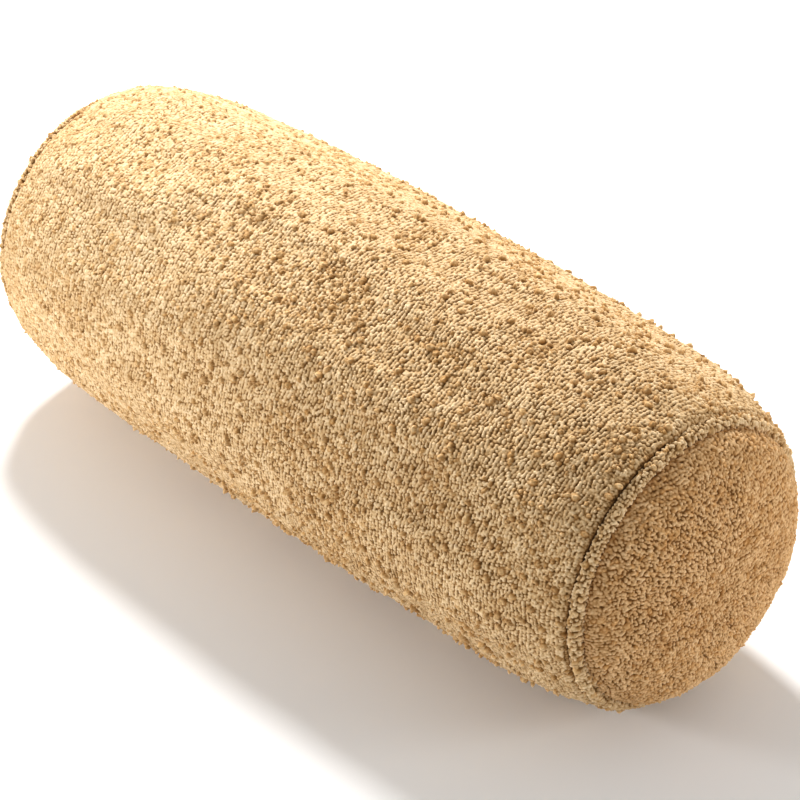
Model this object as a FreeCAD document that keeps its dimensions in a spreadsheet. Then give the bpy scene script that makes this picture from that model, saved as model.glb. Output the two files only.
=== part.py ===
import FreeCAD, Part
import os

import Sketcher

# A stuffed bolster lying on its side. X runs along the bolster, Z is up, and the origin is the
# middle of its footprint on the floor. Millimetres.
#
# Outside in, it is a knit cover (barrel, two piped end panels, a coil zip along the back), an inner
# casing with its own end panels, and loose fibre filling.
#
# Three local frames are used, each raised and turned by its Placement:
#   axis frame:   X along the bolster's centre line, Z up.
#   radial frame: the same, turned about X until Z points out through the zip.
#   zip frame:    the radial frame moved out to the face of the knit beside the zip.

DIMENSIONS = {
    # overall form of the cover
    "barrel_radius": 89.0,
    "axis_height": 84.0,
    "crown_radius": 2160.0,
    "shoulder_centre": 145.5,
    "shoulder_radius": 155.0,
    "roll_radius": 5.2,
    "half_barrel": 198.4,
    "half_overall": 224.5,
    "knit": 2.5,
    "allowance_radius": 61.0,
    # end panels
    "panel_wall": 201.2,
    "panel_shoulder": 66.2,
    "panel_corner": 8.0,
    "dome_radius": 165.0,
    # piping
    "welt_along": 201.85,
    "welt_ring": 69.7,
    "welt_radius": 3.3,
    "welt_strip": 1.3,
    "welt_tail_start": 198.55,
    "welt_tail": 2.5,
    "welt_tail_top": 67.5,
    "fit_gap": 0.1,
    # sewing thread
    "thread": 0.6,
    "needle_ring": 65.0,
    "bobbin_ring": 62.3,
    "closing_thread_start": 74.2,
    "closing_thread_sweep": 7.7,
    # inner casing and filling
    "insert_gap": 1.2,
    "casing": 1.0,
    "casing_mouth": 59.3,
    "casing_dome_rim": 60.0,
    "casing_dome_radius": 82.0,
    "closing_stitch_start": -20.0,
    "closing_stitch_length": 120.0,
    "filling_join": 15.0,
    # zip: angle above the horizontal, distance of its face from the centre line
    "zip_angle": 8.0,
    "zip_plane": 82.4,
    "slot_half_length": 151.0,
    "slot_half_width": 5.4,
    "slit": 0.4,
    "slit_half_length": 201.0,
    "slit_depth": 24.0,
    "slot_depth": 6.0,
    "cut_above": 12.0,
    "tape_half_length": 156.0,
    "tape_width": 10.9,
    "tape_depth": 3.3,
    "tape_thick": 0.7,
    "chain_half_length": 146.0,
    "chain_split": 0.6,
    "coil_width": 2.6,
    "coil_thick": 1.8,
    "zip_stitch_row": 8.5,
    "stop_length": 2.4,
    "insert_zip_depth": 5.8,
    # slider and pull, measured from the face of the knit
    "slider_rest": 139.5,
    "plate_length": 11.0,
    "plate_width": 9.0,
    "plate_under": 0.6,
    "plate_thick": 1.2,
    "flange_thick": 1.1,
    "flange_foot": 2.35,
    "keel_top": 3.5,
    "keel_thick": 1.0,
    "post_width": 0.9,
    "post_length": 3.6,
    "eye_height": 2.4,
    "eye_radius": 0.86,
    "lug_radius": 1.7,
    "lug_thick": 1.4,
    "pin_radius": 0.6,
    "pull_width": 5.4,
    "pull_length": 25.0,
    "pull_window": 4.4,
    "window_width": 2.4,
    "pull_thick": 1.2,
    "grip_hole": 1.3,
    "slider_corner": 0.9,
    # care label
    "label_length": 45.0,
    "label_width": 20.0,
    "label_thick": 0.3,
    "label_start": -60.0,
    "label_overlap": 2.0,
}

CUT_REACH = 300.0
X_AXIS = FreeCAD.Vector(1, 0, 0)
Y_AXIS = FreeCAD.Vector(0, 1, 0)
Z_AXIS = FreeCAD.Vector(0, 0, 1)
ORIGIN = FreeCAD.Vector(0, 0, 0)
START, END, CENTRE = 1, 2, 3
HORIZONTAL_AXIS, VERTICAL_AXIS = -1, -2

doc = FreeCAD.newDocument("Bolster")
sheet = doc.addObject("Spreadsheet::Sheet", "Sizes")
for row, (alias, value) in enumerate(DIMENSIONS.items(), start=1):
    sheet.set(f"A{row}", alias)
    sheet.set(f"B{row}", str(value))
    sheet.setAlias(f"B{row}", alias)
doc.recompute()

nodes = []


def size(alias):
    """The value of one cell of the sheet."""
    return float(getattr(sheet, alias))


def bound(text):
    """Turns @name into a reference to that cell of the sheet."""
    return text.replace("@", "Sizes.")


def bind(obj, **expressions):
    """Binds properties of an object to the sheet."""
    for name, text in expressions.items():
        obj.setExpression(name, bound(text))


# ---------------------------------------------------------------- placements

AXIS_FRAME = (
    "create(<<placement>>; create(<<vector>>; 0; 0; @axis_height);"
    " create(<<rotation>>; create(<<vector>>; 1; 0; 0); 0))"
)
RADIAL_FRAME = (
    "create(<<placement>>; create(<<vector>>; 0; 0; @axis_height);"
    " create(<<rotation>>; create(<<vector>>; 1; 0; 0); @zip_angle - 90))"
)
ZIP_LIFT = (
    "create(<<placement>>; create(<<vector>>; 0; 0; @zip_plane);"
    " create(<<rotation>>; create(<<vector>>; 1; 0; 0); 0))"
)
TURNED = (
    "create(<<placement>>; create(<<vector>>; 0; 0; 0);"
    " create(<<rotation>>; create(<<vector>>; 0; 0; 1); 180))"
)
ZIP_FRAME = f"{RADIAL_FRAME} * {ZIP_LIFT}"


def place(obj, frame):
    """Puts an object in one of the local frames."""
    obj.setExpression("Placement", bound(frame))
    return obj


def node(obj, label, frame):
    """Makes an object one of the finished pieces."""
    obj.Label = label
    place(obj, frame)
    nodes.append(obj)
    return obj


# ---------------------------------------------------------------- small builders


def new_body(name):
    return doc.addObject("PartDesign::Body", name)


def new_sketch(body, plane, name):
    """A sketch on one of the body's own origin planes."""
    sketch = body.newObject("Sketcher::SketchObject", name)
    support = [f for f in body.Origin.OriginFeatures if f.Role == plane][0]
    sketch.AttachmentSupport = [(support, "")]
    sketch.MapMode = "FlatFace"
    return sketch


def vec(x, y):
    return FreeCAD.Vector(x, y, 0)


def arc(cx, cy, radius, first, last):
    """An arc about (cx, cy) from the direction of one point to that of another, anticlockwise."""
    circle = Part.Circle(vec(cx, cy), Z_AXIS, radius)
    return Part.ArcOfCircle(circle, circle.parameter(first), circle.parameter(last))


def limit(sketch, name, kind, *where, to):
    """Adds a named dimension to a sketch and binds it to the sheet."""
    index = sketch.addConstraint(Sketcher.Constraint(kind, *where))
    sketch.renameConstraint(index, name)
    sketch.setExpression(f"Constraints.{name}", bound(to))


def join(sketch, kind, first, second):
    """Joins the end of one edge to the start of another, Coincident or Tangent."""
    sketch.addConstraint(Sketcher.Constraint(kind, *first, *second))


def revolve(body, sketch, name):
    """Turns a sketch a full circle about the bolster's centre line."""
    feature = body.newObject("PartDesign::Revolution", name)
    feature.Profile = sketch
    feature.ReferenceAxis = (sketch, ["H_Axis"])
    feature.Angle = 360
    body.Tip = feature
    doc.recompute()
    return feature


def pad(body, sketch, name, length, symmetric=False):
    feature = body.newObject("PartDesign::Pad", name)
    feature.Profile = sketch
    if symmetric:
        feature.SideType = "Symmetric"
    bind(feature, Length=length)
    body.Tip = feature
    doc.recompute()
    return feature


def rectangle(sketch, name, left, right, low, high):
    """A rectangle whose four sides are dimensions from the sketch's origin.

    Each side is an expression, and its sign is worked out from the sheet."""
    sides = {}
    for key, text in (("left", left), ("right", right), ("low", low), ("high", high)):
        sheet.set("D1", "=" + text.replace("@", ""))
        sheet.recompute()
        sides[key] = float(sheet.get("D1"))
    sheet.clear("D1")
    corners = [
        vec(sides["left"], sides["low"]),
        vec(sides["right"], sides["low"]),
        vec(sides["right"], sides["high"]),
        vec(sides["left"], sides["high"]),
    ]
    first = None
    for i in range(4):
        index = sketch.addGeometry(Part.LineSegment(corners[i], corners[(i + 1) % 4]), False)
        first = index if first is None else first
    bottom, east, top, west = range(first, first + 4)
    for a, b in ((bottom, east), (east, top), (top, west), (west, bottom)):
        join(sketch, "Coincident", (a, END), (b, START))
    for edge in (bottom, top):
        sketch.addConstraint(Sketcher.Constraint("Horizontal", edge))
    for edge in (east, west):
        sketch.addConstraint(Sketcher.Constraint("Vertical", edge))
    origin = (HORIZONTAL_AXIS, START)
    for key, kind, edge, text in (
        ("left", "DistanceX", west, left),
        ("right", "DistanceX", east, right),
        ("low", "DistanceY", bottom, low),
        ("high", "DistanceY", top, high),
    ):
        limit(sketch, f"{name}_{key}", kind, *origin, edge, START, sides[key], to=text)


def box(name, length, width, height, x, y, z, frame=None):
    """A block whose six sizes are expressions; frame turns and lifts it as a whole."""
    block = doc.addObject("Part::Box", name)
    bind(block, Length=length, Width=width, Height=height)
    corner = (
        f"create(<<placement>>; create(<<vector>>; {x}; {y}; {z});"
        " create(<<rotation>>; create(<<vector>>; 1; 0; 0); 0))"
    )
    return place(block, f"{frame} * {corner}" if frame else corner)


def rod(name, radius, length, x, y, z):
    """A straight round rod along X, from x onwards."""
    cylinder = doc.addObject("Part::Cylinder", name)
    bind(cylinder, Radius=radius, Height=length)
    return place(
        cylinder,
        f"create(<<placement>>; create(<<vector>>; {x}; {y}; {z});"
        " create(<<rotation>>; create(<<vector>>; 0; 1; 0); 90))",
    )


def ring(name, ring_radius, radius, x):
    """A round ring about the bolster's centre line."""
    torus = doc.addObject("Part::Torus", name)
    bind(torus, Radius1=ring_radius, Radius2=radius)
    return place(
        torus,
        f"create(<<placement>>; create(<<vector>>; {x}; 0; 0);"
        " create(<<rotation>>; create(<<vector>>; 0; 1; 0); 90))",
    )


def together(name, kind, parts):
    group = doc.addObject(kind, name)
    if kind == "Part::Compound":
        group.Links = parts
    else:
        group.Shapes = parts
    return group


def cut(name, base, tools):
    result = doc.addObject("Part::Cut", name)
    result.Base = base
    result.Tool = tools[0] if len(tools) == 1 else together(f"{name}_tools", "Part::MultiFuse", tools)
    return result


# ---------------------------------------------------------------- the bolster's form


def form_body(name, inset):
    """The cover's barrel as a solid of revolution, drawn in by an inset.

    Five tangent arcs make its outline: a long crown, a shoulder each side, and a tight roll that
    turns each end face square to the centre line."""
    wall = size("half_barrel") - inset_value(inset)
    crown = size("crown_radius") - inset_value(inset)
    shoulder = size("shoulder_radius") - inset_value(inset)
    roll = size("roll_radius") - inset_value(inset)
    crown_y = size("barrel_radius") - size("crown_radius")
    shoulder_x = size("shoulder_centre")
    reach = size("crown_radius") - size("shoulder_radius")
    shoulder_y = crown_y + (reach**2 - shoulder_x**2) ** 0.5
    roll_x = size("half_barrel") - size("roll_radius")
    fall = size("shoulder_radius") - size("roll_radius")
    roll_y = shoulder_y + (fall**2 - (roll_x - shoulder_x) ** 2) ** 0.5

    body = new_body(name)
    sketch = new_sketch(body, "XZ_Plane", f"{name}_outline")
    crown_c = vec(0, crown_y)
    right_c = vec(shoulder_x, shoulder_y)
    left_c = vec(-shoulder_x, shoulder_y)
    right_roll = vec(roll_x, roll_y)
    left_roll = vec(-roll_x, roll_y)
    crown_right = crown_c + (right_c - crown_c) * 2
    crown_left = crown_c + (left_c - crown_c) * 2
    past_right = right_c + (right_roll - right_c) * 2
    past_left = left_c + (left_roll - left_c) * 2
    edges = [
        Part.LineSegment(vec(-wall, 0), vec(wall, 0)),
        Part.LineSegment(vec(wall, 0), vec(wall, roll_y)),
        arc(roll_x, roll_y, roll, vec(wall + roll, roll_y), past_right),
        arc(shoulder_x, shoulder_y, shoulder, past_right, crown_right),
        arc(0, crown_y, crown, crown_right, crown_left),
        arc(-shoulder_x, shoulder_y, shoulder, crown_left, past_left),
        arc(-roll_x, roll_y, roll, past_left, vec(-wall - roll, roll_y)),
        Part.LineSegment(vec(-wall, roll_y), vec(-wall, 0)),
    ]
    base, right_wall, right_turn, right_side, top, left_side, left_turn, left_wall = range(8)
    sketch.addGeometry(edges, False)
    join(sketch, "Coincident", (base, END), (right_wall, START))
    for first in range(right_wall, left_wall):
        join(sketch, "Tangent", (first, END), (first + 1, START))
    join(sketch, "Coincident", (left_wall, END), (base, START))
    for wall_edge in (right_wall, left_wall):
        sketch.addConstraint(Sketcher.Constraint("Vertical", wall_edge))
    for corner in (START, END):
        sketch.addConstraint(Sketcher.Constraint("PointOnObject", base, corner, HORIZONTAL_AXIS))
    sketch.addConstraint(Sketcher.Constraint("PointOnObject", top, CENTRE, VERTICAL_AXIS))
    sketch.addConstraint(Sketcher.Constraint("Equal", right_side, left_side))
    sketch.addConstraint(Sketcher.Constraint("Equal", right_turn, left_turn))
    origin = (HORIZONTAL_AXIS, START)
    limit(sketch, "crown", "Radius", top, crown, to=f"@crown_radius - ({inset})")
    limit(sketch, "shoulder", "Radius", right_side, shoulder, to=f"@shoulder_radius - ({inset})")
    limit(sketch, "roll", "Radius", right_turn, roll, to=f"@roll_radius - ({inset})")
    limit(sketch, "crown_centre", "DistanceY", *origin, top, CENTRE, crown_y,
          to="@barrel_radius - @crown_radius")
    limit(sketch, "right_shoulder", "DistanceX", *origin, right_side, CENTRE, shoulder_x,
          to="@shoulder_centre")
    limit(sketch, "left_shoulder", "DistanceX", *origin, left_side, CENTRE, -shoulder_x,
          to="-@shoulder_centre")
    limit(sketch, "right_end", "DistanceX", *origin, right_wall, START, wall,
          to=f"@half_barrel - ({inset})")
    limit(sketch, "left_end", "DistanceX", *origin, left_wall, START, -wall,
          to=f"{inset} - @half_barrel")
    revolve(body, sketch, f"{name}_turned")
    return body


def inset_value(inset):
    """The number that an inset expression of the sheet's cells stands for."""
    return sum(float(word) if word[0].isdigit() else size(word[1:]) for word in inset.split(" + "))


def form(name, inset, zip_depth):
    """A barrel form, flattened where it meets the floor and along the zip."""
    body = form_body(f"{name}_form", inset)
    under = box(f"{name}_floor", f"{2 * CUT_REACH}", f"{2 * CUT_REACH}", f"{CUT_REACH}",
                f"-{CUT_REACH}", f"-{CUT_REACH}", f"{inset} - @axis_height - {CUT_REACH}")
    behind = box(f"{name}_back", f"{2 * CUT_REACH}", f"{2 * CUT_REACH}", f"{CUT_REACH}",
                 f"-{CUT_REACH}", f"-{CUT_REACH}", f"@zip_plane - {zip_depth}",
                 "create(<<placement>>; create(<<vector>>; 0; 0; 0);"
                 " create(<<rotation>>; create(<<vector>>; 1; 0; 0); @zip_angle - 90))")
    return cut(name, body, [under, behind])


def bore(name, radius):
    """A straight cutter along the centre line, through both end faces."""
    return rod(name, radius, f"{2 * CUT_REACH}", f"-{CUT_REACH}", "0", "0")


def zip_cutter(name, half_length, half_width, low, high):
    """A slot cutter in the barrel's own frame, centred on the zip line."""
    return box(name, f"2 * {half_length}", f"2 * {half_width}", f"{high} - {low}",
               f"-{half_length}", f"-{half_width}", f"@zip_plane + {low}",
               "create(<<placement>>; create(<<vector>>; 0; 0; 0);"
               " create(<<rotation>>; create(<<vector>>; 1; 0; 0); @zip_angle - 90))")


# ---------------------------------------------------------------- cover


def cover_barrel():
    """One wrapped panel. Its ends turn in as seam allowances, its long edges meet at the back:
    apart for the zip's slot, and edge to edge beyond it."""
    outside = form("barrel_outside", "0", "0")
    inside = form("barrel_inside", "@knit", "@knit")
    mouth = bore("barrel_mouth", "@allowance_radius")
    slot = zip_cutter("zip_slot", "@slot_half_length", "@slot_half_width", "-@slot_depth", "@cut_above")
    slit = zip_cutter("closing_slit", "@slit_half_length", "@slit / 2", "-@slit_depth", "@cut_above")
    node(cut("CoverBarrel", outside, [inside, mouth, slot, slit]), "cover_barrel", AXIS_FRAME)


def cover_end(label, frame):
    """A domed end panel with its edge turned in as a seam allowance."""
    body = new_body(label.title().replace("_", ""))
    sketch = new_sketch(body, "XZ_Plane", f"{label}_outline")
    knit, wall, rim = size("knit"), size("panel_wall"), size("panel_shoulder")
    low, apex, dome = size("allowance_radius"), size("half_overall"), size("dome_radius")
    corner = size("panel_corner")
    dome_x = apex - dome
    corner_y = rim - corner
    corner_x = dome_x + ((dome - corner) ** 2 - corner_y**2) ** 0.5
    far = vec(corner_x, corner_y) + vec(corner_x - dome_x, corner_y)
    above = vec(corner_x, rim + corner)
    axis_point = vec(apex + dome, 0)
    edges = [
        Part.LineSegment(vec(wall, low), vec(wall + knit, low)),
        Part.LineSegment(vec(wall + knit, low), vec(wall + knit, rim - knit)),
        Part.LineSegment(vec(wall + knit, rim - knit), vec(corner_x, rim - knit)),
        arc(corner_x, corner_y, corner - knit, far, above),
        arc(dome_x, 0, dome - knit, axis_point, far),
        Part.LineSegment(vec(apex - knit, 0), vec(apex, 0)),
        arc(dome_x, 0, dome, axis_point, far),
        arc(corner_x, corner_y, corner, far, above),
        Part.LineSegment(vec(corner_x, rim), vec(wall, rim)),
        Part.LineSegment(vec(wall, rim), vec(wall, low)),
    ]
    foot, in_wall, in_top, in_corner, in_dome, tip, out_dome, out_corner, out_top, out_wall = range(10)
    sketch.addGeometry(edges, False)
    join(sketch, "Coincident", (foot, END), (in_wall, START))
    join(sketch, "Coincident", (in_wall, END), (in_top, START))
    join(sketch, "Tangent", (in_top, END), (in_corner, END))
    join(sketch, "Tangent", (in_corner, START), (in_dome, END))
    join(sketch, "Coincident", (in_dome, START), (tip, START))
    join(sketch, "Coincident", (tip, END), (out_dome, START))
    join(sketch, "Tangent", (out_dome, END), (out_corner, START))
    join(sketch, "Tangent", (out_corner, END), (out_top, START))
    join(sketch, "Coincident", (out_top, END), (out_wall, START))
    join(sketch, "Coincident", (out_wall, END), (foot, START))
    for edge in (foot, in_top, out_top):
        sketch.addConstraint(Sketcher.Constraint("Horizontal", edge))
    for edge in (in_wall, out_wall):
        sketch.addConstraint(Sketcher.Constraint("Vertical", edge))
    for edge in (in_dome, out_dome):
        sketch.addConstraint(Sketcher.Constraint("PointOnObject", edge, START, HORIZONTAL_AXIS))
    sketch.addConstraint(Sketcher.Constraint("PointOnObject", out_dome, CENTRE, HORIZONTAL_AXIS))
    join(sketch, "Coincident", (in_dome, CENTRE), (out_dome, CENTRE))
    join(sketch, "Coincident", (in_corner, CENTRE), (out_corner, CENTRE))
    origin = (HORIZONTAL_AXIS, START)
    limit(sketch, "dome", "Radius", out_dome, dome, to="@dome_radius")
    limit(sketch, "dome_inside", "Radius", in_dome, dome - knit, to="@dome_radius - @knit")
    limit(sketch, "corner", "Radius", out_corner, corner, to="@panel_corner")
    limit(sketch, "apex", "DistanceX", *origin, out_dome, START, apex, to="@half_overall")
    limit(sketch, "rim", "DistanceY", *origin, out_top, END, rim, to="@panel_shoulder")
    limit(sketch, "wall", "DistanceX", *origin, out_wall, START, wall, to="@panel_wall")
    limit(sketch, "wall_inside", "DistanceX", *origin, in_wall, START, wall + knit,
          to="@panel_wall + @knit")
    limit(sketch, "allowance", "DistanceY", *origin, foot, START, low, to="@allowance_radius")
    revolve(body, sketch, f"{label}_turned")
    node(body, label, frame)


def welt(label, frame):
    """Piping: a strip of the knit folded round a cord, its tail sewn into the end seam."""
    body = new_body(label.title().replace("_", ""))
    tail = new_sketch(body, "XZ_Plane", f"{label}_tail_outline")
    rectangle(tail, "tail", "@welt_tail_start", "@welt_tail_start + @welt_tail",
              "@allowance_radius", "@welt_tail_top")
    revolve(body, tail, f"{label}_tail")
    tube = new_sketch(body, "XZ_Plane", f"{label}_tube_outline")
    centre = vec(size("welt_along"), size("welt_ring"))
    outer = size("welt_radius")
    inner = outer - size("welt_strip")
    tube.addGeometry(Part.Circle(centre, Z_AXIS, outer), False)
    tube.addGeometry(Part.Circle(centre, Z_AXIS, inner), False)
    origin = (HORIZONTAL_AXIS, START)
    join(tube, "Coincident", (0, CENTRE), (1, CENTRE))
    limit(tube, "along", "DistanceX", *origin, 0, CENTRE, centre.x, to="@welt_along")
    limit(tube, "ring", "DistanceY", *origin, 0, CENTRE, centre.y, to="@welt_ring")
    limit(tube, "outer", "Radius", 0, outer, to="@welt_radius")
    limit(tube, "inner", "Radius", 1, inner, to="@welt_radius - @welt_strip")
    revolve(body, tube, f"{label}_tube")
    node(body, label, frame)


def end_seam_thread(label, frame):
    """The lockstitch of an end seam, drawn as its two threads: one ring each side of the layers."""
    needle = ring(f"{label}_needle", "@needle_ring", "@thread / 2",
                  "@half_barrel - @knit - @thread / 2 - @fit_gap")
    bobbin = ring(f"{label}_bobbin", "@bobbin_ring", "@thread / 2",
                  "@panel_wall + @knit + @thread / 2 + @fit_gap")
    node(together(label.title().replace("_", ""), "Part::Compound", [needle, bobbin]), label, frame)


def closing_seam_thread(label, frame):
    """The thread that closes the barrel beyond the zip. It follows the inside of the shoulder."""
    rise = (
        "(@barrel_radius - @crown_radius"
        " + sqrt((@crown_radius - @shoulder_radius)^2 - @shoulder_centre^2))"
    )
    sectors = []
    for side, radius in (
        ("out", "@shoulder_radius - @knit - @fit_gap"),
        ("in", "@shoulder_radius - @knit - @fit_gap - @thread"),
    ):
        sector = doc.addObject("Part::Cylinder", f"{label}_{side}")
        bind(sector, Radius=radius, Height="@thread", Angle="@closing_thread_sweep")
        # A sector grows anticlockwise about its own axis; tipped onto its side, that axis is Y,
        # and the sector lies between the flat beside the zip and the roll at the end seam.
        place(
            sector,
            f"create(<<placement>>; create(<<vector>>; @shoulder_centre; @thread / 2; {rise});"
            " create(<<rotation>>; create(<<vector>>; 1; 0; 0); 90))"
            " * create(<<placement>>; create(<<vector>>; 0; 0; 0);"
            " create(<<rotation>>; create(<<vector>>; 0; 0; 1); @closing_thread_start))",
        )
        sectors.append(sector)
    node(cut(label.title().replace("_", ""), sectors[0], [sectors[1]]), label, frame)


# ---------------------------------------------------------------- zip


def zip_half(side, sign):
    """One half of the zip: tape, coil, the stitching that holds the tape, and its end stop."""
    low = "@chain_split" if sign > 0 else "-@chain_split - @tape_width"
    tape = box(f"Tape{side}", "2 * @tape_half_length", "@tape_width", "@tape_thick",
               "-@tape_half_length", low, "-@tape_depth")
    lift = f"{ZIP_FRAME} * {{}}"
    framed(tape, f"zip_tape_{side}", lift)

    body = new_body(f"Coil{side}")
    sketch = new_sketch(body, "YZ_Plane", f"coil_{side}_section")
    near = size("chain_split") * sign
    far = (size("chain_split") + size("coil_width")) * sign
    floor = size("tape_thick") - size("tape_depth")
    half = size("coil_thick") / 2
    left, right = sorted((near, far))
    middle = floor + half
    west, east, top = left + half, right - half, floor + half * 2
    edges = [
        Part.LineSegment(vec(west, floor), vec(east, floor)),
        arc(east, middle, half, vec(east, floor - half), vec(east, top + half)),
        Part.LineSegment(vec(east, top), vec(west, top)),
        arc(west, middle, half, vec(west, top + half), vec(west, floor - half)),
    ]
    sketch.addGeometry(edges, False)
    for a, b in ((0, 1), (1, 2), (2, 3), (3, 0)):
        join(sketch, "Tangent", (a, END), (b, START))
    sketch.addConstraint(Sketcher.Constraint("Horizontal", 0))
    origin = (HORIZONTAL_AXIS, START)
    limit(sketch, "half_thick", "Radius", 1, half, to="@coil_thick / 2")
    limit(sketch, "floor", "DistanceY", *origin, 0, START, floor, to="@tape_thick - @tape_depth")
    inner = ("@chain_split + @coil_thick / 2", "@chain_split + @coil_width - @coil_thick / 2")
    if sign > 0:
        ends = inner
    else:
        ends = (f"-({inner[1]})", f"-({inner[0]})")
    limit(sketch, "left", "DistanceX", *origin, 0, START, left + half, to=ends[0])
    limit(sketch, "right", "DistanceX", *origin, 0, END, right - half, to=ends[1])
    pad(body, sketch, f"coil_{side}_run", "2 * @chain_half_length", symmetric=True)
    node(body, f"zip_coil_{side}", ZIP_FRAME)

    stitch = rod(f"Stitch{side}", "@thread / 2", "2 * @slot_half_length", "-@slot_half_length",
                 f"{sign} * @zip_stitch_row", "-@tape_depth - @thread / 2")
    framed(stitch, f"zip_stitching_{side}", lift)


def framed(obj, label, lift):
    """Makes a primitive a finished piece: its own place, seen from the zip's frame."""
    own = dict(obj.ExpressionEngine)["Placement"].replace("Sizes.", "@")
    node(obj, label, lift.format(own))


def zip_stops():
    """Two crimped stops at the closed end, one wide stop at the other."""
    lift = "@tape_thick - @tape_depth"
    tops = [
        box(f"TopStop{side}", "@stop_length", "@coil_width", "@coil_thick",
            "@chain_half_length + @fit_gap", low, lift)
        for side, low in (("Upper", "-@chain_split - @coil_width"), ("Lower", "@chain_split"))
    ]
    node(together("ZipTopStops", "Part::Compound", tops), "zip_top_stops", ZIP_FRAME)
    bottom = box("ZipBottomStop", "@stop_length", "2 * (@chain_split + @coil_width)", "@coil_thick",
                 "-@chain_half_length - @fit_gap - @stop_length", "-@chain_split - @coil_width", lift)
    framed(bottom, "zip_bottom_stop", f"{ZIP_FRAME} * {{}}")


def zip_bartacks():
    """A bar of thread across each end of the slot, on the face of the knit."""
    bars = [
        box(f"Bartack{name}", "2 * @thread", "2 * @slot_half_width", "@thread", x,
            "-@slot_half_width", "@fit_gap / 2")
        for name, x in (
            ("Near", "@slot_half_length + @thread"),
            ("Far", "-@slot_half_length - 3 * @thread"),
        )
    ]
    node(together("ZipBartacks", "Part::Compound", bars), "zip_bartacks", ZIP_FRAME)


def slider():
    """The zip slider: a plate over the coils, flanges beside them, a keel plate under the tapes, a
    post between the two plates at the nose, and a lug with the eye for the pull's pin."""
    body = new_body("ZipSlider")
    ends = ("-@plate_length / 2", "@plate_length / 2")
    half = "@plate_width / 2"
    levels = {
        "plate": (ends[0], ends[1], f"-{half}", half, "-@plate_under", "@plate_thick"),
        "flange_upper": (ends[0], ends[1], f"-{half}", f"@flange_thick - {half}",
                         "-@flange_foot", "@flange_foot - @plate_under"),
        "flange_lower": (ends[0], ends[1], f"{half} - @flange_thick", half,
                         "-@flange_foot", "@flange_foot - @plate_under"),
        "post": (f"{ends[1]} - @post_length", ends[1], "-@post_width / 2", "@post_width / 2",
                 "-@keel_top", "@keel_top - @plate_under"),
        "keel": (ends[0], ends[1], f"-{half}", half, "-@keel_top - @keel_thick", "@keel_thick"),
    }
    for name, (left, right, low, high, level, thick) in levels.items():
        sketch = new_sketch(body, "XY_Plane", f"slider_{name}_outline")
        sketch.setExpression("AttachmentOffset.Base.z", bound(level))
        rectangle(sketch, name, left, right, low, high)
        pad(body, sketch, f"slider_{name}", thick)
    plates = body.Tip
    rounding = body.newObject("PartDesign::Fillet", "slider_rounding")
    rounding.Base = (plates, corner_edges(plates.Shape))
    bind(rounding, Radius="@slider_corner")
    body.Tip = rounding
    doc.recompute()

    foot = size("plate_thick") - size("plate_under")
    eye, lug = size("eye_height"), size("lug_radius")
    sketch = new_sketch(body, "XZ_Plane", "slider_lug_outline")
    edges = [
        Part.LineSegment(vec(-lug, foot), vec(lug, foot)),
        Part.LineSegment(vec(lug, foot), vec(lug, eye)),
        arc(0, eye, lug, vec(lug * 2, eye), vec(-lug * 2, eye)),
        Part.LineSegment(vec(-lug, eye), vec(-lug, foot)),
        Part.Circle(vec(0, eye), Z_AXIS, size("eye_radius")),
    ]
    sketch.addGeometry(edges, False)
    join(sketch, "Coincident", (0, END), (1, START))
    join(sketch, "Tangent", (1, END), (2, START))
    join(sketch, "Tangent", (2, END), (3, START))
    join(sketch, "Coincident", (3, END), (0, START))
    sketch.addConstraint(Sketcher.Constraint("Horizontal", 0))
    sketch.addConstraint(Sketcher.Constraint("Vertical", 1))
    join(sketch, "Coincident", (4, CENTRE), (2, CENTRE))
    sketch.addConstraint(Sketcher.Constraint("PointOnObject", 2, CENTRE, VERTICAL_AXIS))
    origin = (HORIZONTAL_AXIS, START)
    limit(sketch, "foot", "DistanceY", *origin, 0, START, foot, to="@plate_thick - @plate_under")
    limit(sketch, "eye_height", "DistanceY", *origin, 2, CENTRE, eye, to="@eye_height")
    limit(sketch, "lug", "Radius", 2, lug, to="@lug_radius")
    limit(sketch, "eye", "Radius", 4, size("eye_radius"), to="@eye_radius")
    pad(body, sketch, "slider_lug", "@lug_thick", symmetric=True)
    node(body, "zip_slider", f"{ZIP_FRAME} * {SLIDER_PLACE.format('0')}")


SLIDER_PLACE = (
    "create(<<placement>>; create(<<vector>>; @slider_rest; 0; {});"
    " create(<<rotation>>; create(<<vector>>; 1; 0; 0); 0))"
)


def corner_edges(shape):
    """The upright edges at the corners of the slider's plates."""
    reach = size("plate_length") / 2
    half = size("plate_width") / 2
    names = []
    for i, edge in enumerate(shape.Edges, start=1):
        bounds = edge.BoundBox
        upright = bounds.ZLength > 0.5 and bounds.XLength < 0.01 and bounds.YLength < 0.01
        at_corner = abs(abs(bounds.XMin) - reach) < 0.01 and abs(abs(bounds.YMin) - half) < 0.01
        if upright and at_corner:
            names.append(f"Edge{i}")
    return names


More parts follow.
